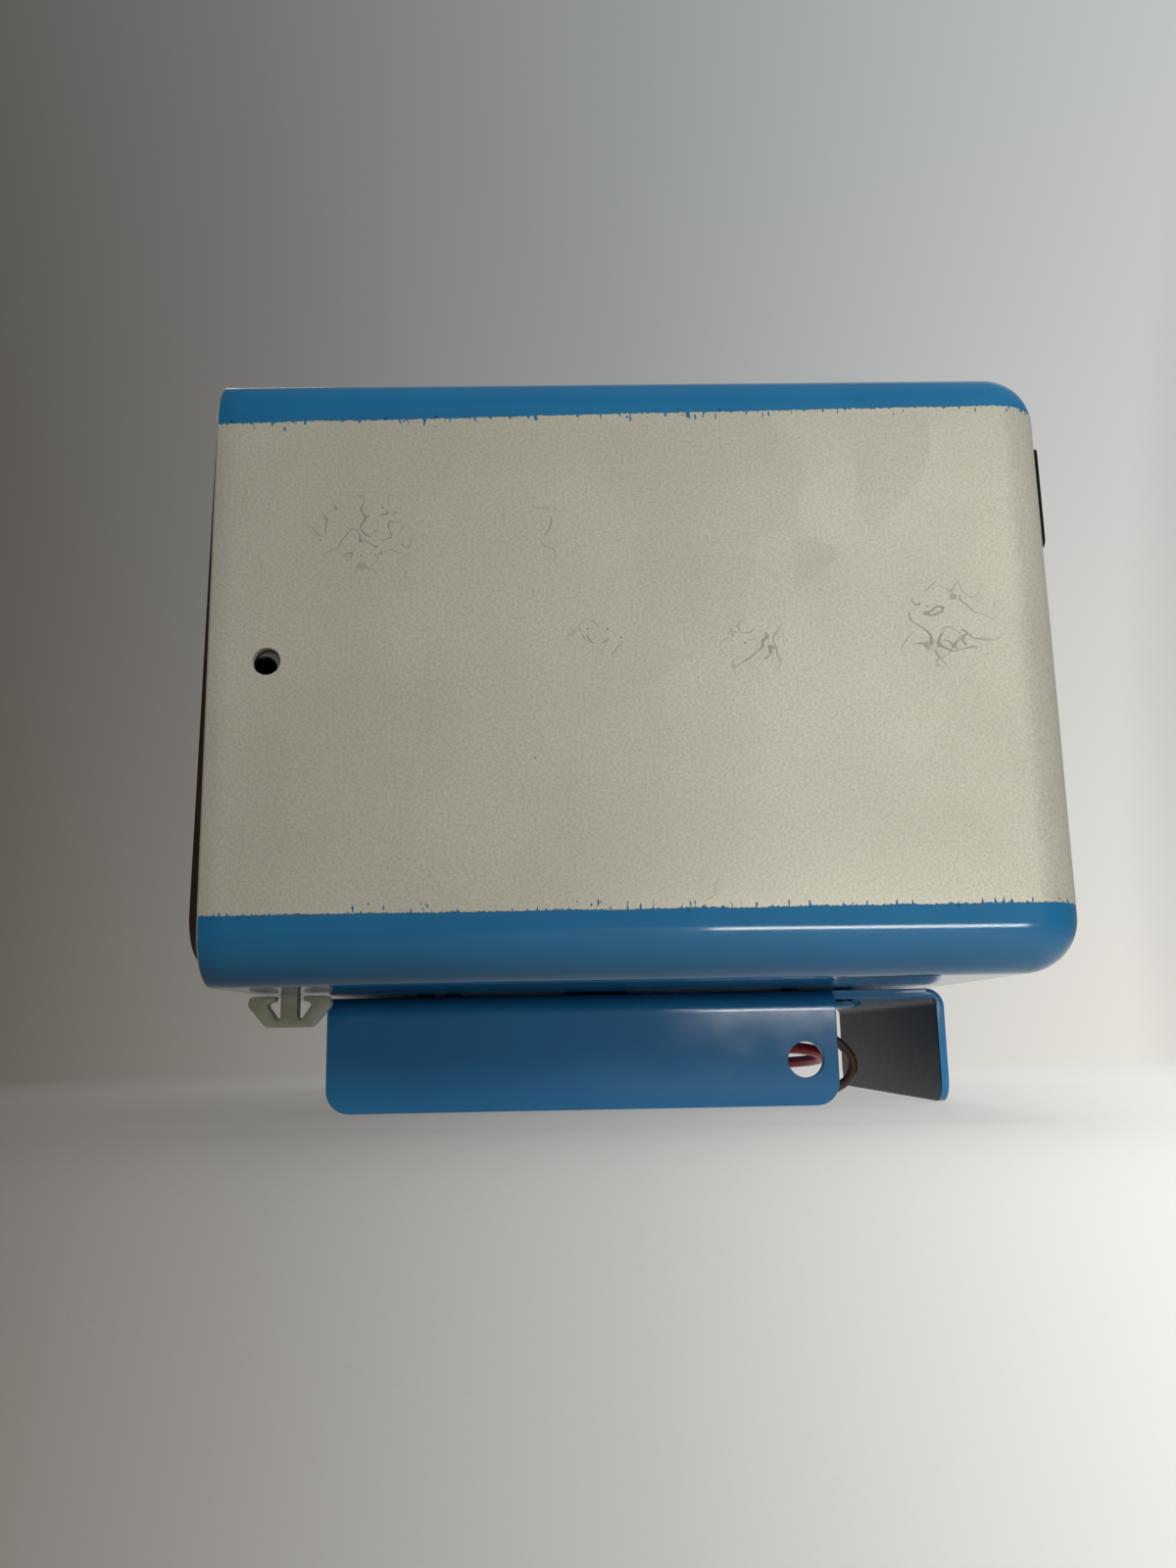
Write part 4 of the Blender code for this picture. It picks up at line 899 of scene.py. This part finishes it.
def makePlate():  # a thin strip with a raised border, left blank
    bm = bmesh.new()
    low, high = plate["low"], plate["high"]
    near, far = plate["margin"], cover["width"] - plate["margin"]
    x = cover["length"] + 0.3
    corners = [
        point for centre, start in (((near + 1, low + 1), 180), ((far - 1, low + 1), 270), ((far - 1, high - 1), 0), ((near + 1, high - 1), 90))
        for point in arcPoints(centre, 1.0, start, start + 90, 6)
    ]
    face = bm.faces.new([bm.verts.new((x * mm, y * mm, z * mm)) for y, z in corners])
    pushed = bmesh.ops.extrude_face_region(bm, geom=[face])
    verts = [item for item in pushed["geom"] if isinstance(item, bmesh.types.BMVert)]
    bmesh.ops.translate(bm, vec=(plate["thickness"] * mm, 0, 0), verts=verts)
    outer = [face for face in bm.faces if face.calc_center_median().x > (x + plate["thickness"] - 0.01) * mm]
    bmesh.ops.inset_region(bm, faces=outer, thickness=0.9 * mm)
    bmesh.ops.inset_region(bm, faces=outer, thickness=0.25 * mm, depth=-plate["rib"] * mm)
    piece = addPiece("frontStrip", toMesh("frontStrip", bm, 30), darkAnodised(), ["front_nameplate"])
    softEdges(piece, 0.08, 2, 50)
    settle(piece)


chromePlate = plainFinish("chromePlate", (0.80, 0.80, 0.81), (0.70, 0.70, 0.71), (0.06, 0.16), 1.0, 0.8, lift=0.004)
blackMoulding = plainFinish("blackMoulding", (0.014, 0.014, 0.015), (0.024, 0.023, 0.023), (0.3, 0.48), 0.0, 1.5)


def makeButton():
    front, middle = cover["length"], cover["width"] / 2
    place = (front, middle, button["height"])
    bore = button["radius"] + 0.3
    rim, rise = button["bezel"], button["rise"]
    crown = list(arcPoints((rim - 0.9, 0.3 + rise - 0.9), 0.9, 100, 0, 8))
    bezel = [(bore, 0.3 + rise - 0.9), (bore + 0.3, 0.3 + rise - 0.35), (bore + 0.9, 0.3 + rise)]
    bezel += crown + [(rim, 0.3), (button["barrel"], 0.3)]
    pitch = 0.8
    turns = int((button["barrelLength"] - 1.2) / pitch)
    for turn in range(turns):  # thread under the nut
        depth = -1.2 - turn * pitch
        bezel += [(button["barrel"], depth), (button["barrel"] - 0.25, depth - pitch / 2)]
    bezel += [(button["barrel"] - 0.25, -button["barrelLength"]), (bore, -button["barrelLength"]), bezel[0]]
    mesh = toMesh("buttonBezel", turned(bezel, 72), 40)
    addPiece("buttonBezel", mesh, chromePlate, ["button_bezel"], matrix=facing(place, (1, 0, 0)))

    top = 0.3 + rise + button["proud"]
    radius, foot, stem = button["radius"], -3.2, 1.5
    dish = [(0, top - 0.35), (radius * 0.3, top - 0.32), (radius * 0.55, top - 0.2), (radius * 0.72, top)]
    edge = list(arcPoints((radius - 0.9, top - 0.9), 0.9, 75, 0, 6))
    cap = dish + edge + [(radius, foot), (stem, foot), (stem, -button["barrelLength"] - 3.0), (0, -button["barrelLength"] - 3.0)]
    mesh = toMesh("buttonCap", turned(cap, 64), 40)
    addPiece(
        "buttonCap", mesh, blackMoulding, ["push_button"], "push_button_body",
        facing(place, (1, 0, 0)),
    )


def makeSpring():  # a coil of wire round the button's stem, inside the bezel's barrel
    start, end = -3.5, -button["barrelLength"] - 0.3
    wire, turns, steps = 0.25, 3.5, 84
    run = start - end - 2 * wire - 0.3
    points = []
    for step in range(steps + 1):
        turn = 2 * math.pi * turns * step / steps
        x = cover["length"] + start - wire - run * step / steps
        radius = 1.5 + 0.3 + 2 * wire
        points.append((x, cover["width"] / 2 + radius * math.cos(turn), button["height"] + radius * math.sin(turn)))
    mesh = tubeMesh("returnSpring", points, wire)
    piece = addPiece("returnSpring", mesh, zinc, ["button_spring"])
    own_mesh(piece)


zinc = plainFinish("zincPlate", (0.58, 0.58, 0.55), (0.47, 0.47, 0.43), (0.28, 0.45), 1.0, 0.7, lift=0.01)
brassPlain = plainFinish("brassPlain", (0.70, 0.50, 0.21), (0.52, 0.35, 0.14), (0.2, 0.4), 1.0, 1.0, lift=0.01)


def redPlastic():
    material, tree, shader = startMaterial("clearRed")
    place = spots(tree)
    cloud = noiseAt(tree, place, 0.8, 3)
    feed(tree, shader.inputs["Base Color"], mixed(tree, cloud, (0.45, 0.012, 0.012), (0.6, 0.03, 0.02)))
    feed(tree, shader.inputs["Roughness"], scaled(tree, cloud, 0.05, 0.14))
    feed(tree, shader.inputs["Normal"], relief(tree, cells(tree, place, 1.4).outputs["Distance"], 0.03))
    shader.inputs["Transmission Weight"].default_value = 0.45
    return material


def makeLens():
    radius, flange = lamp["radius"], lamp["flange"]
    dome = [(flange * math.sin(math.radians(a)), 0.3 + 0.5 + 1.9 * math.cos(math.radians(a))) for a in range(0, 91, 9)]
    profile = dome + [(flange, 0.3), (radius, 0.3), (radius, -cover["wall"] - 4.5), (0, -cover["wall"] - 4.5)]
    mesh = toMesh("indicatorDome", turned(profile, 56), 40)
    place = (cover["length"], cover["width"] / 2 + lamp["offset"], button["height"])
    addPiece("indicatorDome", mesh, redPlastic(), ["indicator_lens"], matrix=facing(place, (1, 0, 0)))


makePlate()
makeButton()
makeSpring()
makeLens()
print("front end made")


# Rear panel on its chassis flanges, with screws and the antenna terminal

rear = {
    "tilt": 0.8, "stand": 0.3, "thickness": 1.2, "inset": 3.6, "corner": 6.0,
    "screwSide": 17.0, "screwLow": 14.0, "screwHigh": 54.0, "studHeight": 66.0, "stud": 1.6, "studLength": 13.0,
}
screw = {"radius": 1.4, "head": 2.9, "rise": 1.6}


def phenolic():
    material, tree, shader = startMaterial("brownPhenolic")
    place = spots(tree)
    fibres = noiseAt(tree, spots(tree, (1, 0.25, 1)), 1.6, 4, 0.65, 1.5)
    broad = noiseAt(tree, place, 0.05, 3)
    tone = mixed(tree, band(tree, fibres, 0.35, 0.7), (0.10, 0.045, 0.022), (0.055, 0.025, 0.014))
    tone = mixed(tree, band(tree, broad, 0.4, 0.7), tone, (0.13, 0.06, 0.03))
    tone = mixed(tree, speckMask(tree, place, 0.5, 0.12, 0.8), tone, (0.2, 0.12, 0.07))
    feed(tree, shader.inputs["Base Color"], tone)
    feed(tree, shader.inputs["Roughness"], scaled(tree, fibres, 0.32, 0.55))
    feed(tree, shader.inputs["Normal"], relief(tree, fibres, 0.02))
    return material


def panelFrame():
    middle = (-rear["stand"], cover["width"] / 2, cover["height"] / 2)
    return Matrix.Translation(origin + Vector(middle) * mm) @ Matrix.Rotation(math.radians(rear["tilt"]), 4, "Y")


def screwPlaces():
    for y in (rear["screwSide"], cover["width"] - rear["screwSide"]):
        for z in (rear["screwLow"], rear["screwHigh"]):
            yield y - cover["width"] / 2, z - cover["height"] / 2


def makeScrew(name, node, place, direction, length, base=None, spin=0.0):
    head, rise, radius = screw["head"], screw["rise"], screw["radius"]
    crown = list(arcPoints((head - 0.75, rise * 0.45), 0.75, 0, 70, 6))
    profile = [(0, rise), (head * 0.45, rise * 0.97)] + crown[::-1] + [(head, 0), (radius, 0)]
    pitch = 0.9
    for turn in range(int((length - 1.0) / pitch)):
        depth = -0.4 - turn * pitch
        profile += [(radius, depth), (radius - 0.28, depth - pitch / 2)]
    profile += [(radius, -length + 0.7), (radius - 0.6, -length), (0, -length)]
    mesh = toMesh(name, turned(profile, 40), 40)
    turn = Matrix.Rotation(spin, 4, "Z")
    matrix = facing(place, direction, base) @ turn
    piece = addPiece(name, mesh, zinc, [node], matrix=matrix)
    recess = []
    for quarter in range(2):  # crossed recess
        bm = bmesh.new()
        bmesh.ops.create_cube(bm, size=1.0)
        bmesh.ops.scale(bm, vec=Vector((0.62, 3.1, 2.2)) * mm, verts=bm.verts)
        cutter = bpy.data.objects.new("recess", toMesh("recess", bm))
        bpy.context.scene.collection.objects.link(cutter)
        cutter.matrix_world = matrix @ Matrix.Translation((0, 0, rise * 1.32 * mm)) @ Matrix.Rotation(quarter * math.pi / 2, 4, "Z")
        recess.append(cutter)
    carve(piece, recess)


def makeRear():
    hinge = panelFrame()
    halfY, halfZ = cover["width"] / 2 - rear["inset"], cover["height"] / 2 - rear["inset"]
    corner = rear["corner"]
    outline = []
    for sy, sz, start in ((-1, -1, 180), (1, -1, 270), (1, 1, 0), (-1, 1, 90)):
        centre = (sy * (halfY - corner), sz * (halfZ - corner))
        outline += list(arcPoints(centre, corner, start, start + 90, 12))
    bm = bmesh.new()
    face = bm.faces.new([bm.verts.new((0, y * mm, z * mm)) for y, z in outline])
    pushed = bmesh.ops.extrude_face_region(bm, geom=[face])
    verts = [item for item in pushed["geom"] if isinstance(item, bmesh.types.BMVert)]
    bmesh.ops.translate(bm, vec=(-rear["thickness"] * mm, 0, 0), verts=verts)
    piece = addPiece("rearBoard", toMesh("rearBoard", bm), phenolic(), ["rear_panel"], matrix=hinge)
    holes = [bar((0, y, z), (1, 0, 0), screw["radius"] + 0.3, 8, 32, base=hinge) for y, z in screwPlaces()]
    studZ = rear["studHeight"] - cover["height"] / 2
    holes.append(bar((0, 0, studZ), (1, 0, 0), rear["stud"] + 0.3, 8, 32, base=hinge))
    carve(piece, holes)
    softEdges(piece, 0.18, 2, 50)
    settle(piece)
    for number, (y, z) in enumerate(screwPlaces(), 1):
        place = (-rear["thickness"] - 0.3, y, z)
        makeScrew(f"panelScrew{number}", f"panel_screw_{number}", place, (-1, 0, 0), 8.0, hinge, 0.6 * number)
    stud, length = rear["stud"], rear["studLength"]
    profile = [(0, length), (stud * 0.6, length), (stud, length - 0.6)]
    pitch = 0.7
    for turn in range(int((length - 1.5) / pitch)):
        depth = length - 0.9 - turn * pitch
        profile += [(stud, depth), (stud - 0.22, depth - pitch / 2)]
    profile += [(stud, -0.3), (2.6 * stud, -0.3), (2.6 * stud, -4.0), (0, -4.0)]
    addPiece(
        "aerialStud", toMesh("aerialStud", turned(profile, 40), 40), brassPlain, ["antenna_stud"],
        matrix=facing((0, 0, studZ), (-1, 0, 0), hinge),
    )


makeRear()
makeScrew(
    "coverScrew", "cover_screw", (cover["holeInset"], cover["width"] + 0.3, cover["holeHeight"]), (0, 1, 0), 7.0,
    None, 0.4,
)
print("rear end made")


# Inside: CAD shapes with softened edges and their own finishes

def chassisSteel():
    material, tree, shader = startMaterial("spangledZinc")
    place = spots(tree)
    net = cells(tree, place, 0.12)
    flakes = split(tree, net.outputs["Color"])[0]
    streaks = noiseAt(tree, spots(tree, (0.06, 1, 1)), 1.5, 3)
    tone = mixed(tree, flakes, (0.50, 0.51, 0.50), (0.62, 0.63, 0.63))
    feed(tree, shader.inputs["Base Color"], mixed(tree, calc(tree, "MULTIPLY", streaks, 0.4), tone, (0.36, 0.36, 0.35)))
    feed(tree, shader.inputs["Roughness"], scaled(tree, flakes, 0.3, 0.48))
    feed(tree, shader.inputs["Normal"], relief(tree, streaks, 0.01))
    shader.inputs["Metallic"].default_value = 1.0
    return material


def boardFinish():
    material, tree, shader = startMaterial("solderResist")
    place = spots(tree)
    x, y, z = split(tree, place)
    tracks = None
    for wave, pitch in ((x, 5.08), (y, 7.62)):  # runs of copper under the resist, with gaps
        line = calc(tree, "ABSOLUTE", calc(tree, "SUBTRACT", calc(tree, "FRACT", calc(tree, "DIVIDE", wave, pitch)), 0.5))
        run = calc(tree, "SUBTRACT", 1.0, band(tree, line, 0.08, 0.11))
        tracks = run if tracks is None else calc(tree, "MAXIMUM", tracks, run)
    kept = calc(tree, "GREATER_THAN", split(tree, cells(tree, place, 0.09).outputs["Color"])[0], 0.45)
    tracks = calc(tree, "MULTIPLY", tracks, kept)
    cloud = noiseAt(tree, place, 0.3, 3)
    tone = mixed(tree, cloud, (0.018, 0.12, 0.045), (0.026, 0.16, 0.06))
    feed(tree, shader.inputs["Base Color"], mixed(tree, tracks, tone, (0.05, 0.26, 0.10)))
    feed(tree, shader.inputs["Roughness"], scaled(tree, cloud, 0.25, 0.4))
    feed(tree, shader.inputs["Normal"], relief(tree, tracks, 0.04))
    return material


def woundCopper():
    material, tree, shader = startMaterial("woundCopper")
    place = spots(tree)
    x, y, z = split(tree, place)
    turns = calc(tree, "ABSOLUTE", calc(tree, "SINE", calc(tree, "MULTIPLY", z, 9.0)))
    cloud = noiseAt(tree, place, 0.8, 3)
    tone = mixed(tree, turns, (0.10, 0.035, 0.015), mixed(tree, cloud, (0.55, 0.24, 0.10), (0.44, 0.17, 0.07)))
    feed(tree, shader.inputs["Base Color"], tone)
    feed(tree, shader.inputs["Roughness"], scaled(tree, cloud, 0.22, 0.4))
    feed(tree, shader.inputs["Normal"], relief(tree, turns, 0.15))
    shader.inputs["Metallic"].default_value = 0.8
    return material


def dress(names, material, width=0.0):
    for name in names:
        node = nodes[name]
        node.data.materials.clear()
        node.data.materials.append(material)
        if width:
            softEdges(node, width, 2, 45)


def numbered(stem, count):
    return [f"{stem}_{number}" for number in range(1, count + 1)]


aluminium = plainFinish("satinAluminium", (0.72, 0.73, 0.74), (0.62, 0.63, 0.65), (0.25, 0.4), 1.0, 0.9, (1, 1, 0.1))
ceramic = plainFinish("glazedCeramic", (0.68, 0.60, 0.46), (0.58, 0.49, 0.36), (0.3, 0.5), 0.0, 1.5)
resistorBody = plainFinish("resistorBody", (0.42, 0.27, 0.15), (0.36, 0.22, 0.12), (0.35, 0.5), 0.0, 1.5)
dress(["chassis"], chassisSteel(), 0.15)
dress(["circuit_board"], boardFinish(), 0.1)
dress(numbered("standoff", 4), aluminium, 0.15)
dress(["filter_capacitor"], aluminium)
dress(["relay_yoke", "relay_core", "relay_armature", "bezel_nut", "lens_clip"], zinc, 0.15)
dress(["relay_bobbin", "switch_body", "decoder_chip"] + numbered("transistor", 2), blackMoulding, 0.12)
dress(["relay_winding"], woundCopper())
dress(["contact_blade", "contact_post", "trimmer_rotor", "antenna_nut"] + numbered("switch_terminal", 2), brassPlain, 0.08)
dress(["tuning_coil"], copperBright)
dress(["trimmer_base"], ceramic, 0.1)
dress(numbered("resistor", 2), resistorBody)
for colour, tones in (("red", redLead), ("brown", brownLead), ("black", blackLead)):
    dress([f"{colour}_lead"], bpy.data.materials[f"{colour}Vinyl"])


def makeBoardScrews():
    for number in range(1, 5):
        low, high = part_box(f"board_screw_{number}")
        middle = (low + high) / 2 - origin
        place = (middle.x / mm, middle.y / mm, (high.z - origin.z) / mm - screw["rise"])
        makeScrew(f"boardScrew{number}", f"board_screw_{number}", place, (0, 0, 1), 6.0, None, 0.5 * number)


def makeChipPins():  # two rows of bent legs down to the board
    low, high = [(corner - origin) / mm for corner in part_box("decoder_chip")]
    joined = bmesh.new()
    count = 8
    for pin in range(count):
        x = low.x + (high.x - low.x) * (pin + 0.5) / count
        for side, y in ((-1, low.y), (1, high.y)):
            points = [
                (x, y - side * 0.2, low.z + 1.7), (x, y + side * 0.45, low.z + 1.7), (x, y + side * 0.75, low.z + 1.4),
                (x, y + side * 0.8, low.z + 0.05),
            ]
            joined.from_mesh(tubeMesh("pin", points, 0.22, 8))
    mesh = bpy.data.meshes.new("chipPins")
    joined.to_mesh(mesh)
    joined.free()
    addPiece("chipPins", mesh, zinc)


makeBoardScrews()
makeChipPins()
print("inside finished")

bpy.context.view_layer.update()
